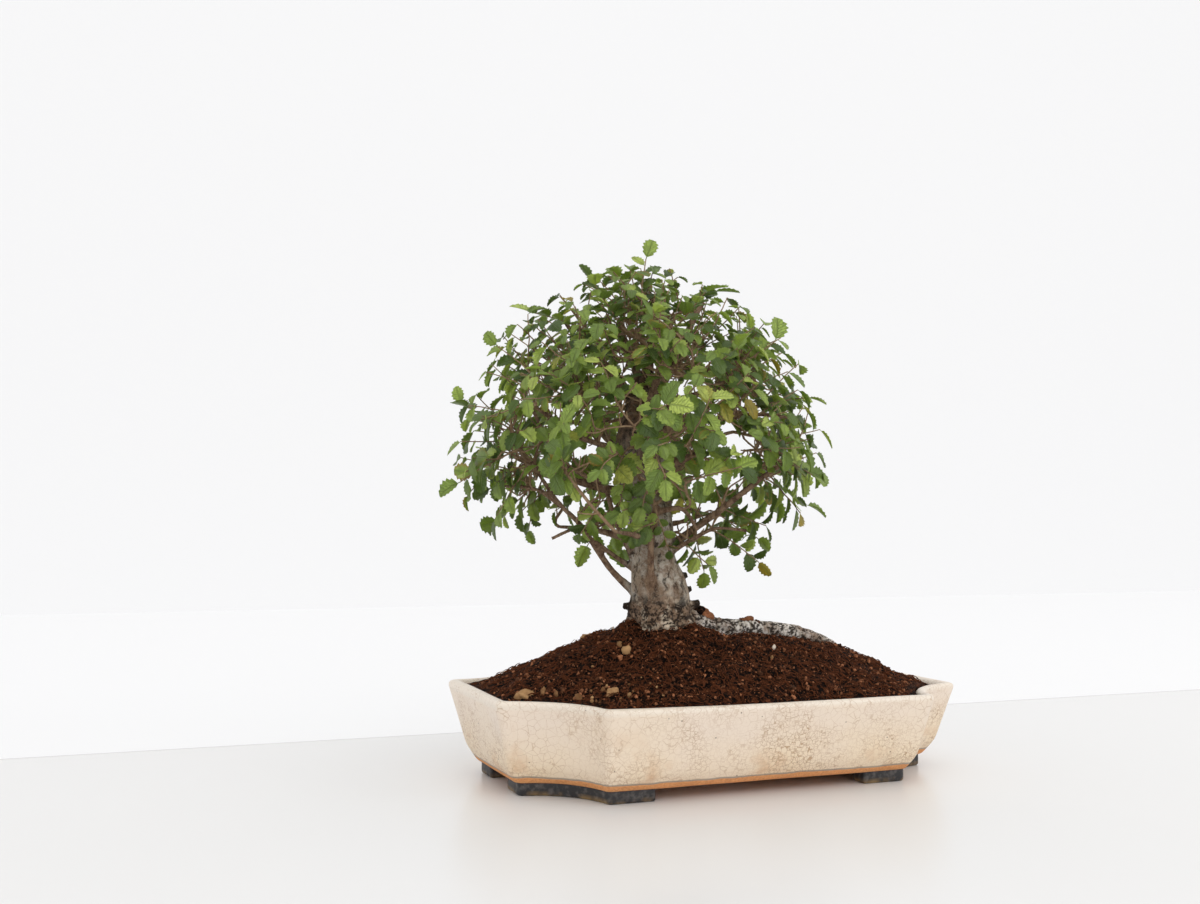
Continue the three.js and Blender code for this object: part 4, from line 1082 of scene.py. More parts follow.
def bark_material(settings):
    """Mottled grey-beige bark, knobbly and blotched with dark brown at the foot, and a pale creased root,
    with painted shade in the creases and high up under the crown.
    """
    material, tree, shader = new_material("elm_bark")
    height = height_above_table(tree)
    place = object_place(tree)
    upright = object_place(tree, (1.0, 1.0, 0.7))
    crosswise = object_place(tree, (2.2, 0.5, 0.5))
    flakes = cloud(tree, upright, 260.0, 6.0, 0.7, 0.4)
    mottle = cloud(tree, place, 150.0, 5.0, 0.7, 0.6)
    patches = cloud(tree, place, 60.0, 4.0, 0.6)
    specks = cloud(tree, place, 900.0, 3.0, 0.7)
    creases = cloud(tree, crosswise, 210.0, 4.0, 0.7, 0.2)
    foot = between(tree, height, 0.122, 0.106)
    # Painted shade: the mask for the darker, browner bark high up under the crown
    high = between(tree, height, 0.165, 0.225)
    crevice = put(tree, "ShaderNodeAttribute", attribute_name="crevice").outputs["Fac"]
    root = put(tree, "ShaderNodeAttribute", attribute_name="root").outputs["Fac"]
    # The trunk: mottled grey with dark flecks; higher up it is darker and browner, painted shade of the crown
    trunk = mix(tree, between(tree, patches, 0.4, 0.62), tuple(settings.bark_grey), tuple(settings.bark_pale))
    trunk = mix(tree, between(tree, mottle, 0.44, 0.6, 0.0, 0.75), trunk, tuple(settings.bark_red))
    trunk = mix(tree, between(tree, flakes, 0.49, 0.39, 0.0, 0.85), trunk, tuple(settings.bark_dark_and_painted_shade))
    brown = mix(tree, between(tree, flakes, 0.38, 0.62), tuple(settings.bark_dark_and_painted_shade), tuple(settings.bark_red))
    brown = mix(tree, between(tree, mottle, 0.52, 0.66, 0.0, 0.5), brown, tuple(settings.bark_grey))
    trunk = mix(tree, high, trunk, brown)
    # The foot: a mottle of pale and dark, partly the bark's own colour, partly painted highlights on the
    # knobs and painted shade in the hollows
    knobs = mix(tree, between(tree, mottle, 0.42, 0.66), tuple(settings.bark_grey), tuple(settings.foot_pale))
    knobs = mix(tree, between(tree, patches, 0.57, 0.5, 0.0, 0.85), knobs, tuple(settings.bark_red))
    knobs = mix(tree, between(tree, mottle, 0.48, 0.4), knobs, tuple(settings.bark_dark_and_painted_shade))
    colour = mix(tree, foot, trunk, knobs)
    limb = put(tree, "ShaderNodeAttribute", attribute_name="limb").outputs["Fac"]
    limbs = mix(tree, between(tree, flakes, 0.36, 0.6), tuple(settings.limb_dark), tuple(settings.limb_pale))
    colour = mix(tree, limb, colour, limbs)
    # The root that lies bare on the soil
    bare = mix(tree, between(tree, creases, 0.36, 0.58), tuple(settings.bark_grey), tuple(settings.root_pale))
    bare = mix(tree, between(tree, patches, 0.54, 0.64, 0.0, 0.75), bare, tuple(settings.bark_red))
    colour = mix(tree, root, colour, bare)
    # Painted shade: the bark is darkened in its creases, and it is also darker round the stub ends
    colour = mix(tree, between(tree, crevice, 0.05, 0.6, 0.0, 0.95), colour, tuple(settings.bark_dark_and_painted_shade))
    colour = mix(tree, between(tree, specks, 0.6, 0.74, 0.0, 0.45), colour, tuple(settings.bark_pale))
    colour = mix(tree, between(tree, specks, 0.42, 0.3, 0.0, 0.6), colour, tuple(settings.bark_dark_and_painted_shade))
    tree.links.new(colour, shader.inputs["Base Color"])
    shader.inputs["Roughness"].default_value = 0.88
    shader.inputs["Specular IOR Level"].default_value = 0.3
    relief = do(tree, "ADD", flakes, do(tree, "MULTIPLY", creases, 0.6))
    bumped(tree, shader, do(tree, "ADD", relief, do(tree, "MULTIPLY", specks, 0.3)), 0.0011, 0.9)
    return material


def leaf_material(settings, name, underside):
    """Elm leaf: veins and lobes of green from the leaf's own map, its tint drawn for each leaf."""
    material, tree, shader = new_material(name)
    uv = put(tree, "ShaderNodeUVMap", uv_map="leaf_map").outputs["UV"]
    parts = put(tree, "ShaderNodeSeparateXYZ", {"Vector": uv})
    aside = do(tree, "ABSOLUTE", do(tree, "SUBTRACT", parts.outputs["X"], 0.5))
    slanted = do(tree, "SUBTRACT", parts.outputs["Y"], do(tree, "MULTIPLY", aside, 0.42))
    saw = do(tree, "FRACT", do(tree, "MULTIPLY", slanted, 9.0))
    vein = between(tree, do(tree, "ABSOLUTE", do(tree, "SUBTRACT", saw, 0.5)), 0.13, 0.02)
    midrib = between(tree, aside, 0.05, 0.012)
    veins = do(tree, "MAXIMUM", do(tree, "MULTIPLY", vein, 0.55), midrib)
    tint = put(tree, "ShaderNodeAttribute", attribute_name="tint").outputs["Fac"]
    form = put(tree, "ShaderNodeAttribute", attribute_name="form").outputs["Fac"]
    place = object_place(tree)
    blotch = cloud(tree, place, 260.0, 4.0)
    stops = put(tree, "ShaderNodeValToRGB", {"Fac": tint})
    ramp = stops.color_ramp
    ramp.elements[0].position = 0.0
    ramp.elements[0].color = tuple(settings.leaf_dark)
    ramp.elements[1].position = 0.4
    ramp.elements[1].color = tuple(settings.leaf)
    paler = ((0.8, settings.leaf_fresh), (0.965, settings.leaf_lime), (0.996, settings.leaf_yellow))
    for position, shade in paler:
        ramp.elements.new(position).color = tuple(shade)
    darker = between(tree, blotch, 0.35, 0.7, 0.0, 0.35)
    colour = mix(tree, darker, stops.outputs["Color"], tuple(settings.leaf_dark))
    colour = mix(tree, do(tree, "MULTIPLY", veins, 0.38), colour, tuple(settings.vein))
    # Turning edges on a few leaves
    margin = do(tree, "MULTIPLY", between(tree, aside, 0.25, 0.5), between(tree, form, 0.965, 0.98))
    colour = mix(tree, do(tree, "MULTIPLY", margin, 0.8), colour, tuple(settings.leaf_turning))
    if underside:
        colour = mix(tree, 0.45, colour, tuple(settings.leaf_under))
    tree.links.new(colour, shader.inputs["Base Color"])
    shader.inputs["Roughness"].default_value = 0.62 if underside else 0.36
    shader.inputs["Specular IOR Level"].default_value = 0.35 if underside else 0.75
    shader.inputs["Transmission Weight"].default_value = 0.0
    relief = do(tree, "ADD", do(tree, "MULTIPLY", veins, -1.0), do(tree, "MULTIPLY", blotch, 0.5))
    bumped(tree, shader, relief, 0.0014, 1.0)
    # Light that comes through the blade
    bright = mix(tree, 0.5, colour, tuple(settings.leaf_lime))
    glow = put(tree, "ShaderNodeBsdfTranslucent", {"Color": bright})
    layers = {0: settings.leaf_glow, 1: shader.outputs[0], 2: glow.outputs[0]}
    blend = put(tree, "ShaderNodeMixShader", layers)
    output = next(node for node in tree.nodes if node.type == "OUTPUT_MATERIAL")
    tree.links.new(blend.outputs[0], output.inputs["Surface"])
    return material


def twig_material(settings):
    """Red-brown young bark, paler on some twigs."""
    material, tree, shader = new_material("twig_bark")
    tint = put(tree, "ShaderNodeAttribute", attribute_name="tint").outputs["Fac"]
    place = object_place(tree)
    streak = cloud(tree, place, 420.0, 3.0)
    share = do(tree, "ADD", tint, between(tree, streak, 0.3, 0.7, -0.25, 0.25), clamp=True)
    colour = mix(tree, share, tuple(settings.twig), tuple(settings.twig_pale))
    tree.links.new(colour, shader.inputs["Base Color"])
    shader.inputs["Roughness"].default_value = 0.75
    bumped(tree, shader, streak, 0.0005, 0.6)
    return material


# Sizes and colours that a user would change

def length_property(name, description, default_mm):
    return bpy.props.FloatProperty(name=name, description=description, default=default_mm * MM,
                                   min=0.0, subtype="DISTANCE", unit="LENGTH", precision=5)


def share_property(name, description, default):
    return bpy.props.FloatProperty(name=name, description=description, default=default,
                                   min=0.0, max=1.0, subtype="FACTOR")


def colour_property(name, description, *rgb):
    return bpy.props.FloatVectorProperty(name=name, description=description, default=linear(*rgb),
                                         size=4, min=0.0, max=1.0, subtype="COLOR")


class PotSettings(bpy.types.PropertyGroup):
    """The tray pot's finish."""
    waver: length_property("Waver", "How far the hand-made wall strays from true", POT_WAVER)
    glaze_edge: length_property("Glaze edge", "Height above the table at which the glaze ends", GLAZE_END)
    cream: colour_property("Glaze", "The cream glaze", 239, 223, 206)
    cream_warm: colour_property("Warm glaze", "The warmer glaze low on the wall", 240, 221, 193)
    rim: colour_property("Rim", "The pale rim", 238, 227, 212)
    stain: colour_property("Stain", "Peach-brown staining in the glaze", 212, 168, 126)
    crackle: colour_property("Crackle", "The fine lines in the glaze", 186, 152, 118)
    speck: colour_property("Specks", "Pinholes in the glaze", 112, 90, 72)
    glaze_edge_grey: colour_property("Glaze line", "The grey line where the glaze ends", 128, 116, 104)
    clay: colour_property("Bare clay", "The unglazed band", 234, 168, 110)
    clay_dark: colour_property("Dark clay", "Darker patches of the unglazed band", 198, 134, 86)
    foot: colour_property("Feet", "The dark feet", 36, 36, 39)
    foot_pale: colour_property("Worn feet", "Worn places on the feet", 92, 88, 86)
    foot_dirt: colour_property("Dirt on feet", "Ochre dirt low on the feet", 152, 124, 80)


class SoilSettings(bpy.types.PropertyGroup):
    """The potting mix."""
    relief: length_property("Relief", "How rough the top of the soil is", 1.3)
    crumbs: bpy.props.IntProperty(name="Crumbs", description="Loose crumbs on the soil", default=450, min=1)
    grains: bpy.props.IntProperty(name="Grains", description="Small grains on the soil", default=4200, min=1)
    shreds: bpy.props.IntProperty(name="Shreds", description="Short coconut shreds", default=3700, min=1)
    fibres: bpy.props.IntProperty(name="Fibres", description="Long, thin coconut fibres", default=420, min=1)
    # Near-black: partly the peat's own colour, partly painted shade in the hollows
    peat_dark_and_painted_shade: colour_property("Dark peat", "Peat in the hollows", 7, 2, 1)
    peat: colour_property("Peat", "Peat on the mounds", 92, 50, 28)
    peat_pale: colour_property("Pale peat", "Dry peat", 170, 112, 78)
    fibre_dark: colour_property("Dark fibre", "The darker fibres", 178, 112, 72)
    fibre_pale: colour_property("Pale fibre", "The paler fibres", 250, 214, 170)
    lump: colour_property("Baked clay", "The lumps of baked clay", 186, 146, 102)
    lump_dark: colour_property("Dark baked clay", "The darker sides of the lumps", 110, 76, 48)
    chip: colour_property("Pale chips", "The few pale chips", 214, 200, 184)


class WoodSettings(bpy.types.PropertyGroup):
    """The trunk, roots, limbs and twigs."""
    relief: length_property("Bark relief", "Depth of the bark's wrinkles and flakes", BARK_RELIEF)
    voxel: length_property("Fineness", "Size of the mesh that joins the limbs to the trunk", WOOD_VOXEL)
    # The dark bark colour also paints shade: in the creases, in the foot's hollows and high up under the
    # crown
    bark_dark_and_painted_shade: colour_property("Dark bark", "Bark in the creases", 36, 25, 17)
    bark_grey: colour_property("Grey bark", "Old bark", 152, 138, 120)
    bark_pale: colour_property("Pale bark", "Weathered bark", 206, 197, 184)
    bark_red: colour_property("Brown bark", "Bark higher up and in patches", 122, 94, 72)
    limb_dark: colour_property("Dark limbs", "The darker side of the limbs' bark", 84, 60, 44)
    limb_pale: colour_property("Pale limbs", "The paler side of the limbs' bark", 150, 124, 100)
    # Partly the bark's own pale colour, partly painted highlights on the knobs at the foot
    foot_pale: colour_property("Pale knobs", "Worn knobs at the foot of the trunk", 228, 208, 184)
    root_pale: colour_property("Bare root", "The root that lies on the soil", 234, 226, 218)
    twig: colour_property("Twigs", "Young bark", 116, 86, 60)
    twig_pale: colour_property("Pale twigs", "Older, paler twigs", 186, 160, 126)


class LeafSettings(bpy.types.PropertyGroup):
    """The leaves."""
    thickness: length_property("Thickness", "Thickness of a blade", 0.24)
    leaf_glow: share_property("Light through", "Share of the light that comes through a blade", 0.36)
    leaf_dark: colour_property("Dark leaf", "Old leaves", 66, 94, 34)
    leaf: colour_property("Leaf", "Most leaves", 144, 172, 72)
    leaf_fresh: colour_property("Fresh leaf", "Young leaves", 188, 212, 96)
    leaf_lime: colour_property("Lime leaf", "The palest green leaves", 224, 240, 122)
    leaf_yellow: colour_property("Turning leaf", "The few yellow leaves", 206, 178, 62)
    leaf_turning: colour_property("Turning edge", "The turning edges of a few leaves", 196, 140, 62)
    leaf_under: colour_property("Underside", "The dull underside", 150, 166, 120)
    vein: colour_property("Veins", "Midrib and side veins", 190, 206, 140)


class StageSettings(bpy.types.PropertyGroup):
    """Floor, backdrop, lights and camera."""
    floor: colour_property("Floor", "The pale floor", 236, 235, 234)
    wall: colour_property("Backdrop", "The white backdrop", 173, 173, 174)
    lens: bpy.props.FloatProperty(name="Lens", description="Focal length of the camera in millimetres",
                                  default=39.0, min=1.0, subtype="DISTANCE_CAMERA")


# Pot

def draw_in(height):
    """How far the wall has drawn in at a height: 1 at the foot, 0 at the rim."""
    if height <= BAND_HEIGHT:
        return 1 - (1 - DRAWN_AT_BAND) * height / BAND_HEIGHT
    if height <= CURVE_HEIGHT:
        drop = DRAWN_AT_BAND - DRAWN_AT_CURVE
        return DRAWN_AT_BAND - drop * (height - BAND_HEIGHT) / (CURVE_HEIGHT - BAND_HEIGHT)
    return DRAWN_AT_CURVE * (WALL_HEIGHT - height) / (WALL_HEIGHT - CURVE_HEIGHT)


def soft_draw_in(height):
    """The same with its bends softened, as they are under the glaze."""
    around = np.linspace(-BEND_SOFT, BEND_SOFT, 9)
    return float(np.mean([draw_in(min(max(height + step, 0), WALL_HEIGHT)) for step in around]))


def wall_size(height, inset, drawn=soft_draw_in):
    share = drawn(height)
    return (
        POT_LENGTH / 2 - share * BASE_INSET_X - inset,
        POT_DEPTH / 2 - share * BASE_INSET_Y - inset,
        POT_NOTCH - share * (POT_NOTCH - BASE_NOTCH) - NOTCH_PER_INSET * inset,
    )


def corner_curve(half_x, half_y, notch):
    """The outline at one corner: a soft edge, the hollow and another soft edge."""
    chord = notch * math.sqrt(2)
    sag = chord * NOTCH_SAG
    radius = (chord ** 2 / 4 + sag ** 2) / (2 * sag)
    centre = np.array([half_x - notch / 2, half_y - notch / 2]) + (radius - sag) / math.sqrt(2)
    half = math.asin(chord / 2 / radius) - CORNER_ROUND / radius
    turns = np.linspace(1.25 * math.pi + half, 1.25 * math.pi - half, HOLLOW_POINTS)
    hollow = centre + radius * np.column_stack([np.cos(turns), np.sin(turns)])
    first = bezier((half_x, half_y - notch - CORNER_ROUND), (half_x, half_y - notch), hollow[0])
    last = bezier(hollow[-1], (half_x - notch, half_y), (half_x - notch - CORNER_ROUND, half_y))
    shares = np.linspace(0, 1, EDGE_POINTS)
    return np.vstack([[first(s) for s in shares[:-1]], hollow, [last(s) for s in shares[1:]]])


def wall_outline(height, inset):
    corner = corner_curve(*wall_size(height, inset))
    quarters = [corner, corner[::-1] * (-1, 1), corner * (-1, -1), corner[::-1] * (1, -1)]
    points = []
    for number, quarter in enumerate(quarters):
        following = quarters[(number + 1) % 4]
        steps = (LONG_WALL_STEPS, SHORT_WALL_STEPS)[number % 2]
        shares = np.linspace(0, 1, steps + 1)[1:-1, None]
        points.extend(quarter)
        points.extend(quarter[-1] + (following[0] - quarter[-1]) * shares)
    return np.array(points)


def wall_ring(height, inset):
    outline = wall_outline(height, inset)
    return np.column_stack([outline, np.full(len(outline), FOOT_HEIGHT + height)])


def foot_outline(sign_x, sign_y):
    outer = corner_curve(*wall_size(0, FOOT_INSET, draw_in))
    inner = corner_curve(*wall_size(0, FOOT_INSET + FOOT_WIDTH, draw_in))
    end_y = outer[0][1] - FOOT_ALONG_SIDE
    end_x = outer[-1][0] - FOOT_ALONG_FRONT
    there = [(outer[0][0], end_y), *outer, (end_x, outer[-1][1])]
    back = [(end_x, inner[-1][1]), *inner[::-1], (inner[0][0], end_y)]
    return np.array(there + back) * (sign_x, sign_y)


def warp(points):
    """The hand-made shape of the pot and its soil: the short ends flare, and the left one stands higher."""
    x, y, z = np.asarray(points, dtype=float).T
    share = np.clip(z / (FOOT_HEIGHT + WALL_HEIGHT), 0, FLARE_MOST)
    end = np.minimum(np.abs(2 * x / POT_LENGTH), 1) ** FLARE_POWER
    left = np.clip(-2 * x / POT_LENGTH, 0, 1) ** 2
    flared = x + np.sign(x) * end * (FLARE_ENDS + FLARE_RIM * share)
    return np.column_stack([flared, y, z + left * share * LEFT_RISE])


class BONSAI_OT_pot(bpy.types.Operator):
    """Makes the glazed tray pot with its hollow corners, drain holes and dark feet."""
    bl_idname = "bonsai.pot"
    bl_label = "Pot"

    def execute(self, context):
        settings = context.scene.bonsai_pot
        pot = lofted_grid("tray_pot", [wall_ring(height, inset) for height, inset in POT_PROFILE])
        for side in (1, -1):
            place = to_frame([side * DRAIN_OFFSET, 0, FOOT_HEIGHT])
            bpy.ops.object.select_all(action="DESELECT")
            bpy.ops.mesh.primitive_cylinder_add(
                vertices=DRAIN_SIDES,
                radius=DRAIN_RADIUS * MM,
                depth=4 * FLOOR_THICKNESS * MM,
                location=place,
            )
            drill = context.object
            apply_modifier(pot, "BOOLEAN", operation="DIFFERENCE", object=drill, solver="EXACT")
            bpy.data.objects.remove(drill)
        points, normals = points_of(pot)
        strays = [fractal(point, WAVER_SIZE, 2) for point in points]
        move_points(pot, warp(points + normals * np.array(strays)[:, None] * settings.waver / MM))
        materials = [glaze_material(settings), foot_material(settings)]
        parts = [pot]
        for sign_x in (1, -1):
            for sign_y in (1, -1):
                top = FOOT_HEIGHT + FLOOR_THICKNESS / 2
                foot = raised_plate("foot", foot_outline(sign_x, sign_y), 0, top)
                apply_modifier(
                    foot, "BEVEL", width=FOOT_ROUND * MM, segments=FOOT_ROUND_STEPS,
                    limit_method="ANGLE", angle_limit=math.radians(FOOT_ROUND_ANGLE),
                )
                foot.data.polygons.foreach_set("material_index", [1] * len(foot.data.polygons))
                parts.append(foot)
        for part in parts:
            for material in materials:
                part.data.materials.append(material)
        pot = join(parts, "tray_pot")
        select_only(pot)
        bpy.ops.object.shade_smooth_by_angle(angle=math.radians(POT_SMOOTH_ANGLE))
        finish_piece(pot, materials, ["pot"])
        return {"FINISHED"}


# Soil

def soil_height(x, y):
    half_x, half_y, notch = wall_size(WALL_HEIGHT, WALL_THICKNESS)
    along = 1 - min(1, abs(x) / half_x) ** SOIL_POWER_X
    across = 1 - min(1, abs(y) / half_y) ** SOIL_POWER_Y
    corner = 1 - min(1, (abs(x) + abs(y)) / (half_x + half_y - notch)) ** SOIL_POWER_CORNER
    bumps = math.sin(x / 9 + 1) * math.cos(y / 7) + 0.6 * math.sin(x / 5 - y / 6)
    heap = COLLAR_RISE * math.exp(-((math.hypot(x - COLLAR_X, y - COLLAR_Y) / COLLAR_REACH) ** 2))
    return SOIL_EDGE + SOIL_RISE * along * across * corner + SOIL_LUMPINESS * bumps * corner + heap


def rough_soil(x, y, relief):
    lumps = fractal((x, y, 0), 14, 4) + 0.8 * fractal((x, y, 40), 4.5, 3)
    dip = float(np.interp(x, DIP_PLACES, DIP_DEPTHS)) * math.exp(-(((y - DIP_Y) / DIP_BREADTH) ** 2))
    return soil_height(x, y) + relief * lumps - dip


def within_soil(x, y, margin=SOIL_EDGE_MARGIN):
    """Whether a place is on the soil and that far from the pot's rim."""
    half_x, half_y, notch = wall_size(WALL_HEIGHT, WALL_THICKNESS)
    x, y = abs(x), abs(y)
    chord = notch * math.sqrt(2)
    across_corner = (half_x + half_y - notch - x - y) / math.sqrt(2)
    hollow = chord * NOTCH_SAG if x > half_x - notch * 1.2 and y > half_y - notch * 1.2 else 0
    return x < half_x - margin and y < half_y - margin and across_corner > margin + hollow


def on_soil(random):
    """A place on the soil, drawn evenly."""
    half_x, half_y, _ = wall_size(WALL_HEIGHT, WALL_THICKNESS)
    while True:
        x, y = random.uniform(-half_x, half_x), random.uniform(-half_y, half_y)
        if within_soil(x, y):
            return x, y


def crumbs_at(name, places, random, fineness=2):
    """Crumbs from one small lump at places of (x, y, z, size), each turned and stretched its own way."""
    bpy.ops.object.select_all(action="DESELECT")
    bpy.ops.mesh.primitive_ico_sphere_add(subdivisions=fineness, radius=1)
    template = bpy.context.object
    for vertex in template.data.vertices:
        vertex.co *= 1 + CRUMB_STRAY * fractal(vertex.co, 0.7, 2)
    placements = []
    for *place, size in places:
        turns = [Matrix.Rotation(random.uniform(0, 2 * math.pi), 3, axis) for axis in "ZX"]
        stretch = Matrix.Diagonal(Vector(random.uniform(*CRUMB_STRETCH, 3) * size))
        placements.append(Matrix.Translation(place) @ (turns[0] @ turns[1] @ stretch).to_4x4())
    piece = copies(name, template, placements, {"tint": random.random(len(places))})
    bpy.data.objects.remove(template)
    return piece


def resting(x, y, size, relief):
    """Where a crumb of that size lies on the soil, half sunk in it."""
    return *warp([(x, y, rough_soil(x, y, relief) + CRUMB_RISE * size)])[0], size


def drawn_sizes(random, sizes, count):
    return sizes[0] + (sizes[1] - sizes[0]) * random.random(count) ** 3


def fibre_line(random, form, relief):
    """A bent line over the soil, and its thickness."""
    while True:
        x, y = on_soil(random)
        heading = random.uniform(0, 2 * math.pi)
        bend = random.uniform(-1, 1) * form["bend"]
        reach = random.uniform(*form["length"])
        lift = random.random() ** 2 * form["lift"]
        points = []
        for share in np.linspace(0, 1, len(FIBRE_TAPER)):
            turn = heading + bend * share
            far_x, far_y = x + math.cos(turn) * reach * share, y + math.sin(turn) * reach * share
            rise = FIBRE_REST + lift * math.sin(math.pi * (0.1 + 0.8 * share))
            points.append((far_x, far_y, rough_soil(far_x, far_y, relief) + rise))
        if within_soil(*points[-1][:2], 1):
            return warp(points), random.uniform(*form["radius"])


class BONSAI_OT_soil(bpy.types.Operator):
    """Makes the mound of peat with its crumbs and fibres, and the lumps of baked clay on it."""
    bl_idname = "bonsai.soil"
    bl_label = "Soil"

    def execute(self, context):
        settings = context.scene.bonsai_soil
        relief = settings.relief / MM
        random = np.random.default_rng(SEED)
        inset = WALL_THICKNESS + CLEAR_OF_POT
        rings = [wall_ring(height, inset) for height in SOIL_SIDE_HEIGHTS]
        edge = wall_outline(SOIL_SIDE_HEIGHTS[-1], inset)
        shares = np.linspace(1, 0, SOIL_RINGS)
        for share in shares:
            flat = edge * share
            roughness = relief * min(1, (1 - share) * SOIL_CALM_EDGE + SOIL_CALM_LEAST)
            rings.append(np.array([(x, y, rough_soil(x, y, roughness)) for x, y in flat]))
        mound = lofted_grid("potting_soil", [warp(ring) for ring in rings])
        sizes = drawn_sizes(random, CRUMB_SIZES, settings.crumbs)
        lying = [resting(*on_soil(random), size, relief) for size in sizes]
        crumbs = crumbs_at("crumbs", [*lying, *ROOT_CLUMPS], random)
        sizes = drawn_sizes(random, GRAIN_SIZES, settings.grains)
        grains = crumbs_at("grains", [resting(*on_soil(random), size, relief) for size in sizes], random, 1)
        lines = []
        kinds = ((settings.shreds, SHREDS, SHRED_SHADES), (settings.fibres, FIBRES, FIBRE_SHADES))
        for count, form, shades in kinds:
            for _ in range(count):
                points, thick = fibre_line(random, form, relief)
                thickness = [thick * share for share in FIBRE_TAPER]
                lines.append((points, thickness, int(np.searchsorted(shades, random.random()))))
        fibres = tubes("fibres", lines, FIBRE_SIDES)
        peat = peat_material(settings)
        # The crumbs' darkest end is the same near-black, partly painted shade
        crumb = tinted_material("peat_crumbs", tuple(settings.peat_dark_and_painted_shade), tuple(settings.peat_pale))
        shades = [settings.peat, settings.fibre_dark, settings.fibre_pale]
        names = ("dark_fibre", "brown_fibre", "pale_fibre")
        threads = [tinted_material(name, tuple(shade), tuple(shade)) for name, shade in zip(names, shades)]
        finish_piece(mound, [peat], ["soil"])
        mound.data.shade_smooth()
        finish_piece(crumbs, [crumb])
        finish_piece(grains, [crumb])
        set_values(fibres, "tint", np.full(len(fibres.data.vertices), FIBRE_TINT))
        finish_piece(fibres, threads)
        baked = tinted_material("baked_clay", tuple(settings.lump_dark), tuple(settings.lump), 0.9, 260.0)
        for number, (x, y, *radii) in enumerate(LUMPS):
            bpy.ops.object.select_all(action="DESELECT")
            bpy.ops.mesh.primitive_ico_sphere_add(subdivisions=4, radius=1)
            lump = context.object
            lump.name = f"baked_clay_lump_{number + 1}"
            corners = np.array([vertex.co for vertex in lump.data.vertices])
            swells = [1 + LUMP_STRAY * fractal(corner + number, 0.9, 4) for corner in corners]
            middle = np.array([x, y, soil_height(x, y) + radii[2] * LUMP_RISE])
            move_points(lump, middle + corners * np.array(swells)[:, None] * radii)
            set_values(lump, "tint", np.full(len(corners), LUMP_TINT))
            lump.data.shade_smooth()
            finish_piece(lump, [baked], [f"clay_lump_{number + 1}"])
        strip = [(random.uniform(*PEBBLE_STRIP[0]), random.uniform(*PEBBLE_STRIP[1])) for _ in range(PEBBLES)]
        sizes = drawn_sizes(random, PEBBLE_SIZES, PEBBLES)
        loose = [(x, y, size) for (x, y), size in zip(strip, sizes) if within_soil(x, y)]
        lying = [resting(*each, relief) for each in [*loose, *SEEN_PEBBLES]]
        pebbles = crumbs_at("baked_clay_crumbs", lying, random)
        pebbles.data.shade_smooth()
        finish_piece(pebbles, [baked])
        chips = crumbs_at("pale_chips", [resting(*each, relief) for each in PALE_CHIPS], random)
        pale = tinted_material("pale_chip", tuple(settings.chip), tuple(settings.chip))
        finish_piece(chips, [pale])
        return {"FINISHED"}


# Wood

def knobbly(turn, height):
    return sum((out * math.sin(around * turn + height / twist) for out, around, twist in TRUNK_LOBES), 1)


def bark_form(point):
    """How far the bark stands out at a point, and how deep in a crease it is, which sets the painted shade in
    the creases.
    """
    x, y, z = point
    foot = float(np.clip((FLARE_TOP - z) / FLARE_FADE, 0, 1))
    flakes = fractal((x, y, z * FLAKE_STRETCH), FLAKE_SIZE, 4)
    knobs = abs(fractal((x, y, z * KNOB_STRETCH), KNOB_SIZE, 3))
    wrinkles = abs(fractal((x * WRINKLE_STRETCH, y * WRINKLE_STRETCH, z), WRINKLE_SIZE, 3))
    above = FLAKE_OUT * flakes
    below = KNOB_OUT * min(knobs, KNOB_MOST) + WRINKLE_OUT * wrinkles - FOOT_BACK
    crease = np.clip(1 - min(knobs, wrinkles) / CREASE_WIDTH, 0, 1)
    out = (1 - foot) * above + foot * below + LUMP_OUT * fractal(point, LUMP_SIZE, 2)
    return out, foot * crease + (1 - foot) * 0.5 * np.clip(-flakes - 0.35, 0, 1)


def line_of(route, span=(0, 1), count=60):
    curve = smooth_route(route)
    return np.array([curve(share) for share in np.linspace(*span, count)])


def distances(points, line):
    """How far each point is from the nearest of the line's."""
    return np.min([np.linalg.norm(points - place, axis=1) for place in line], axis=0)


def wander(number, share):
    """How far a twig strays from its curve at a share of its length."""
    twig, along, aside = TWIG_SEEDS
    moves = [fractal((number * twig, share * along, axis * aside), 1, 2) for axis in range(3)]
    return np.array(moves) * TWIG_WANDER * math.sin(math.pi * share)


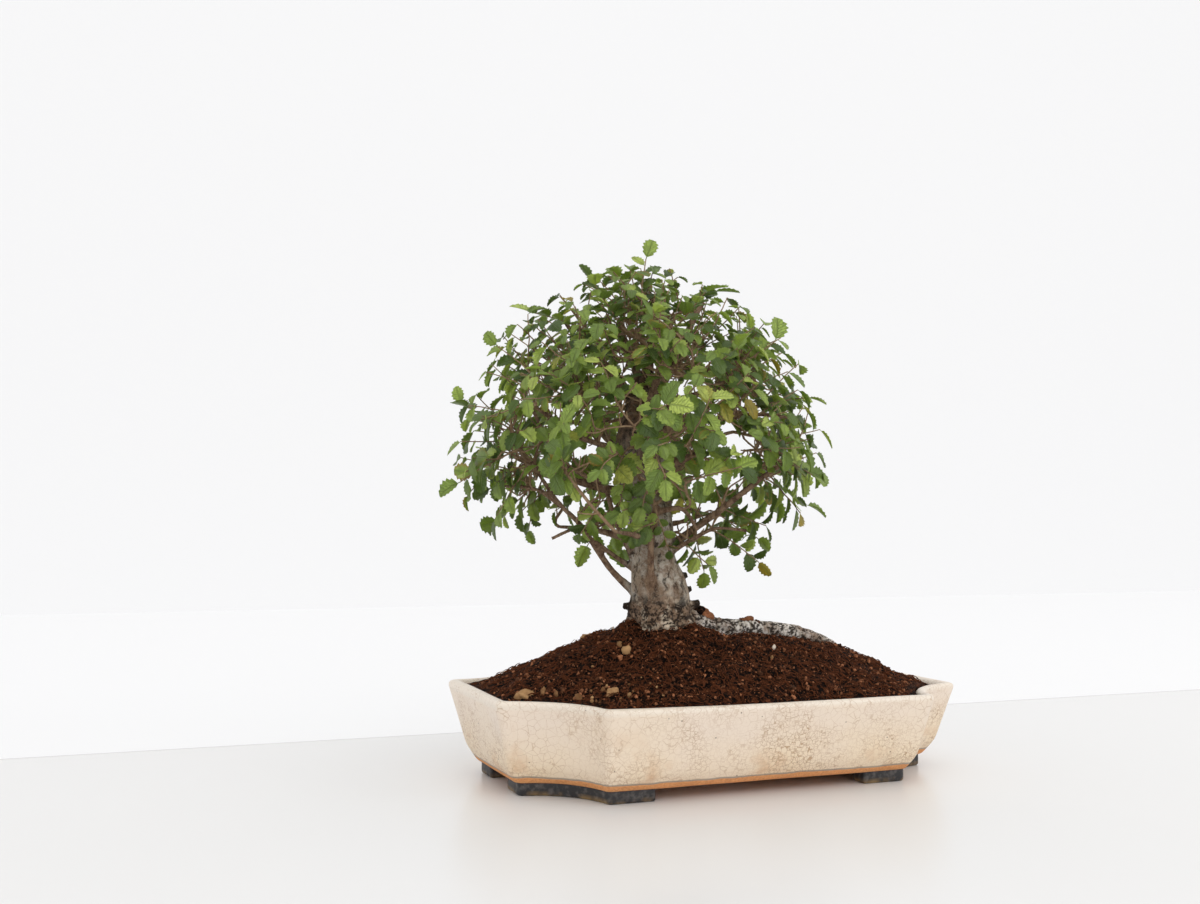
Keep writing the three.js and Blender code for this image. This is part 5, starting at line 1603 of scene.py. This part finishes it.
class BONSAI_OT_wood(bpy.types.Operator):
    """Makes the trunk, its roots and limbs in one, and the twigs."""
    bl_idname = "bonsai.wood"
    bl_label = "Wood"

    def execute(self, context):
        settings = context.scene.bonsai_wood
        trunk = tubes("trunk", [(*along_route(TRUNK, TRUNK_STEP), 0)], TRUNK_SIDES)
        points, _ = points_of(trunk)
        heights = [stop[2] for stop in TRUNK]
        for point in points:
            stops = ([stop[axis] for stop in TRUNK] for axis in (0, 1))
            centre = np.array([np.interp(point[2], heights, places) for places in stops])
            away = point[:2] - centre
            point[:2] = centre + away * knobbly(math.atan2(away[1], away[0]), point[2])
        move_points(trunk, points)
        roots = tubes("roots", [(*along_route(route, TRUNK_STEP), 0) for route in ROOTS], ROOT_SIDES)
        thinned = [
            [route[0], *[(*place, radius * LIMB_THINNING) for *place, radius in route[1:]]]
            for route in LIMBS
        ]
        lines = [(*along_route(route, LIMB_STEP), 0) for route in [*thinned, *STUBS]]
        limbs = tubes("limbs", lines, LIMB_SIDES)
        wood = join([trunk, roots, limbs], "elm_wood")
        apply_modifier(wood, "REMESH", mode="VOXEL", voxel_size=settings.voxel)
        apply_modifier(wood, "SMOOTH", factor=WOOD_EASE, iterations=WOOD_EASE_ROUNDS)
        points, normals = points_of(wood)
        heights, creases = np.array([bark_form(point) for point in points]).T
        thick = np.array([min(1, max(RELIEF_LEAST, trunk_share(point))) for point in points])
        move_points(wood, points + normals * (heights * thick * settings.relief / MM)[:, None])
        # Painted shade in the creases, and darker bark round the stub ends, for the bark's colour to read
        ends = np.array([route[-1][:3] for route in STUBS])
        at_stub = np.clip(STUB_DARK - distances(points, ends) / STUB_END, 0, 1)
        set_values(wood, "crevice", np.maximum(creases, at_stub))
        near_root = distances(points, line_of(ROOTS[0], ROOT_SPAN))
        set_values(wood, "root", np.clip((ROOT_FAR - near_root) / (ROOT_FAR - ROOT_NEAR), 0, 1))
        near_shoot = distances(points, np.vstack([line_of(LIMBS[number]) for number in SHOOT_LIMBS]))
        shoot = np.clip((SHOOT_FAR - near_shoot) / (SHOOT_FAR - SHOOT_NEAR), 0, 1)
        stops = np.array(TRUNK)
        centre_x, centre_y, radius = (
            np.interp(points[:, 2], stops[:, 2], stops[:, axis]) for axis in (0, 1, 3)
        )
        beyond = np.hypot(points[:, 0] - centre_x, points[:, 1] - centre_y) - radius
        limb = np.clip((beyond - LIMB_NEAR) / (LIMB_FAR - LIMB_NEAR), 0, 1) * (points[:, 2] > STUBS[-1][0][2])
        set_values(wood, "limb", np.maximum(shoot, limb))
        wood.data.shade_smooth()
        finish_piece(wood, [bark_material(settings)], ["tree_wood"])
        lines = []
        for number, (curve, root, tip) in enumerate(GROWTH["stems"]):
            count = max(5, math.ceil(length_of(curve, 20) / TWIG_STEP))
            shares = np.linspace(0, 1, count + 1)
            line = [curve(share) + wander(number, share) for share in shares]
            lines.append((line, [root + (tip - root) * share for share in shares], number % 2))
        twigs = tubes("twigs", lines, TWIG_SIDES)
        set_values(twigs, "tint", np.full(len(twigs.data.vertices), TWIG_TINT))
        twigs.data.shade_smooth()
        finish_piece(twigs, [twig_material(settings)])
        return {"FINISHED"}


def trunk_share(point):
    """How much of the bark's relief a point gets: all on the trunk and its foot, less on thin limbs."""
    trunk_line = np.array([stop[:3] for stop in TRUNK])
    away = np.linalg.norm(trunk_line[:, :2] - point[:2], axis=1).min()
    if point[2] < FLARE_TOP:
        return 1 if away < FOOT_REACH else FOOT_BEYOND
    return RELIEF_AT_TRUNK - away / RELIEF_FADE


# Leaves

def leaf_rows():
    """The blade from stalk to tip, as rows of how far along each is and its half width."""
    rows = [(0, STALK_HALF_WIDTH), (STALK_LENGTH, STALK_HALF_WIDTH)]
    for number in range(TEETH):
        for step, way in TOOTH_STEPS:
            share = (number + step) / TEETH
            half_width = 0.5 * math.sin(math.pi * share ** BLADE_FORM) ** BLADE_FULLNESS
            tooth = way * TOOTH * min(1, 3 * half_width)
            rows.append((STALK_LENGTH + (1 - STALK_LENGTH) * share, half_width + tooth))
    return [*rows, (1, BLADE_TIP)]


def leaf_template():
    """One leaf, 1 long and 1 wide: a grid drawn in to a toothed blade on a short stalk, folded and arched."""
    rows = leaf_rows()
    bpy.ops.object.select_all(action="DESELECT")
    bpy.ops.mesh.primitive_grid_add(x_subdivisions=2, y_subdivisions=len(rows) - 1, size=1)
    leaf = bpy.context.object
    leaf.data.uv_layers[0].name = "leaf_map"
    arch = [LEAF_ARCH * along * (0.6 - along) for along, _ in rows]
    places = [
        (side * half_width, along, LEAF_FOLD * abs(side) * half_width + rise)
        for (along, half_width), rise in zip(rows, arch) for side in (-1, 0, 1)
    ]
    leaf.data.vertices.foreach_set("co", np.ravel(places))
    return leaf


def leaf_placement(pose):
    """Takes the template's across, along and up to a leaf's own place, in millimetres."""
    across = np.cross(pose["midrib"], pose["face"])
    wide = pose["length"] * LEAF_WIDTH * (WIDTH_LEAST + WIDTH_STRAY * pose["form"])
    deep = pose["length"] * (CURL_LEAST + CURL_STRAY * pose["curl"])
    placement = np.eye(4)
    placement[:3, 0] = across * wide
    placement[:3, 1] = pose["midrib"] * pose["length"]
    placement[:3, 2] = pose["face"] * deep
    placement[:3, 3] = pose["root"]
    return placement


class BONSAI_OT_leaves(bpy.types.Operator):
    """Makes the leaves of the solid sprays and of the finer growth between them."""
    bl_idname = "bonsai.leaves"
    bl_label = "Leaves"

    def execute(self, context):
        settings = context.scene.bonsai_leaf
        template = leaf_template()
        sides = (("elm_leaf", False), ("elm_leaf_under", True))
        materials = [leaf_material(settings, name, underside) for name, underside in sides]
        nodes = sorted(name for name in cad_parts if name.startswith(SPRAY_NAME))
        for tier, low, high in LEAF_TIERS:
            poses = [pose for pose in GROWTH["leaves"] if low <= pose["root"][2] < high]
            if not poses:
                raise RuntimeError(f"no leaves grew in the {tier} tier")
            values = {key: [pose[key] for pose in poses] for key in ("tint", "form")}
            leaves = copies(f"leaves_{tier}", template, [leaf_placement(pose) for pose in poses], values)
            apply_modifier(leaves, "SOLIDIFY", thickness=settings.thickness, offset=0, material_offset=1)
            middles = {name: (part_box(name)[0].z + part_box(name)[1].z) / 2 / MM for name in nodes}
            replaced = [name for name in nodes if low <= middles[name] < high]
            finish_piece(leaves, materials, replaced)
            leaves.data.shade_smooth()
        bpy.data.objects.remove(template)
        return {"FINISHED"}


class BONSAI_OT_finish_screens(bpy.types.Operator):
    """Gives the drain screens their plastic."""
    bl_idname = "bonsai.screens"
    bl_label = "Drain screens"

    def execute(self, context):
        material, tree, shader = new_material("screen_mesh_plastic")
        grain = cloud(tree, object_place(tree), 600.0)
        shades = (linear(24, 26, 25), linear(44, 47, 45))
        tree.links.new(mix(tree, between(tree, grain, 0.35, 0.65), *shades), shader.inputs["Base Color"])
        shader.inputs["Roughness"].default_value = 0.6
        for name in ("drain_screen_left", "drain_screen_right"):
            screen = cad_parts[name]
            for slot in screen.material_slots:
                slot.material = material
        return {"FINISHED"}


# Stage

def plain_material(name, colour, roughness):
    material, _, shader = new_material(name)
    shader.inputs["Base Color"].default_value = tuple(colour)
    shader.inputs["Roughness"].default_value = roughness
    shader.inputs["Specular IOR Level"].default_value = 0.3
    return material


def area_light(name, place, target, size, power, colour=(1, 1, 1)):
    bpy.ops.object.light_add(type="AREA", location=to_frame(place))
    lamp = bpy.context.object
    lamp.name = name
    lamp.data.shape = "DISK"
    lamp.data.size = size * MM
    lamp.data.energy = power
    lamp.data.color = colour
    aim = Vector(np.asarray(target, dtype=float) - np.asarray(place, dtype=float))
    lamp.rotation_euler = aim.to_track_quat("-Z", "Y").to_euler()


class BONSAI_OT_stage(bpy.types.Operator):
    """Sets the pale floor and backdrop, the soft lights and the camera."""
    bl_idname = "bonsai.stage"
    bl_label = "Stage"

    def execute(self, context):
        settings = context.scene.bonsai_stage
        bpy.ops.object.select_all(action="DESELECT")
        bpy.ops.mesh.primitive_plane_add(size=FLOOR_SIZE * MM, location=to_frame([0, 0, 0]))
        floor = context.object
        floor.name = "floor"
        floor.data.materials.append(plain_material("pale_floor", settings.floor, FLOOR_ROUGHNESS))
        floor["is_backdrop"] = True
        backdrop = plain_material("white_backdrop", settings.wall, BACKDROP_ROUGHNESS)
        shader = backdrop.node_tree.nodes["Principled BSDF"]
        shader.inputs["Emission Color"].default_value = (1.0, 1.0, 1.0, 1.0)
        shader.inputs["Emission Strength"].default_value = BACKDROP_GLOW
        for name, place, turn in (
            ("backdrop_flat", [0, BACKDROP_START + FLOOR_SIZE / 2, BACKDROP_LIFT], 0),
            ("backdrop_upright", [0, BACKDROP_RISE, FLOOR_SIZE / 2], math.pi / 2),
        ):
            bpy.ops.mesh.primitive_plane_add(
                size=FLOOR_SIZE * MM, location=to_frame(place), rotation=(turn, 0, 0),
            )
            sheet = context.object
            sheet.name = name
            sheet.data.materials.append(backdrop)
            sheet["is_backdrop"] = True
        for light in LIGHTS:
            area_light(*light)
        world = bpy.data.worlds.new("studio")
        world.use_nodes = True
        background = world.node_tree.nodes["Background"]
        background.inputs["Color"].default_value = (1.0, 1.0, 1.0, 1.0)
        background.inputs["Strength"].default_value = WORLD_STRENGTH
        context.scene.world = world
        camera = bpy.data.objects.new("camera", bpy.data.cameras.new("camera"))
        context.scene.collection.objects.link(camera)
        camera.data.lens = settings.lens
        camera.data.sensor_width = SENSOR_WIDTH
        forward = Vector(CAMERA_FORWARD).normalized()
        right = forward.cross(Vector((0, 0, 1))).normalized()
        upward = right.cross(forward)
        roll = Matrix.Rotation(math.radians(CAMERA_ROLL), 4, forward)
        axes = Matrix((right, upward, -forward)).transposed().to_4x4()
        camera.matrix_world = Matrix.Translation(to_frame(CAMERA_PLACE)) @ roll @ axes
        context.scene.camera = camera
        context.scene.view_settings.view_transform = "Standard"
        return {"FINISHED"}


# Panel and start

SETTINGS = {
    "bonsai_pot": PotSettings,
    "bonsai_soil": SoilSettings,
    "bonsai_wood": WoodSettings,
    "bonsai_leaf": LeafSettings,
    "bonsai_stage": StageSettings,
}
OPERATORS = (
    BONSAI_OT_pot, BONSAI_OT_soil, BONSAI_OT_wood, BONSAI_OT_leaves,
    BONSAI_OT_finish_screens, BONSAI_OT_stage,
)


class BONSAI_PT_panel(bpy.types.Panel):
    """Lists the pieces and their settings."""
    bl_label = "Chinese elm bonsai"
    bl_idname = "BONSAI_PT_panel"
    bl_space_type = "VIEW_3D"
    bl_region_type = "UI"
    bl_category = "Bonsai"

    def draw(self, context):
        for operator in OPERATORS:
            self.layout.operator(operator.bl_idname)
        for name, group in SETTINGS.items():
            box = self.layout.box()
            box.label(text=group.__doc__)
            for key in group.__annotations__:
                box.prop(getattr(context.scene, name), key)


def register():
    for group in SETTINGS.values():
        bpy.utils.register_class(group)
    for name, group in SETTINGS.items():
        setattr(bpy.types.Scene, name, bpy.props.PointerProperty(type=group))
    for operator in OPERATORS:
        bpy.utils.register_class(operator)
    bpy.utils.register_class(BONSAI_PT_panel)


def unregister():
    bpy.utils.unregister_class(BONSAI_PT_panel)
    for operator in reversed(OPERATORS):
        bpy.utils.unregister_class(operator)
    for name, group in SETTINGS.items():
        delattr(bpy.types.Scene, name)
        bpy.utils.unregister_class(group)


GROWTH = {"leaves": [], "stems": []}


def grow():
    """Grows all the sprays: leaf poses, and stems as (curve, root radius, tip radius)."""
    balls = Balls()
    sprays, branches = grow_solid_sprays(balls)
    more, more_branches = grow_more_sprays(balls, branches)
    for curve, thick in branches:
        GROWTH["stems"].append((curve, thick * FINE_BRANCH, BRANCH_TIP * FINE_BRANCH))
    for curve, thick in more_branches:
        GROWTH["stems"].append((curve, thick * FINER_BRANCH, BRANCH_TIP * FINER_BRANCH))
    GROWTH["stems"].extend(list(spurs(GROWTH["stems"])))
    for _, twig, leaves in [*sprays, *more]:
        GROWTH["stems"].append((twig, FINE_TWIG[0], FINE_TWIG[1]))
        GROWTH["leaves"].extend(leaves)


def main():
    register()
    grow()
    bpy.ops.bonsai.pot()
    bpy.ops.bonsai.soil()
    bpy.ops.bonsai.wood()
    bpy.ops.bonsai.leaves()
    bpy.ops.bonsai.screens()
    bpy.ops.bonsai.stage()
    boxes = {"cad": CAD_BOX, "visual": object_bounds()}
    {key: [list(map(float, corner)) for corner in box] for key, box in boxes.items()}


if __name__ == "__main__":
    main()
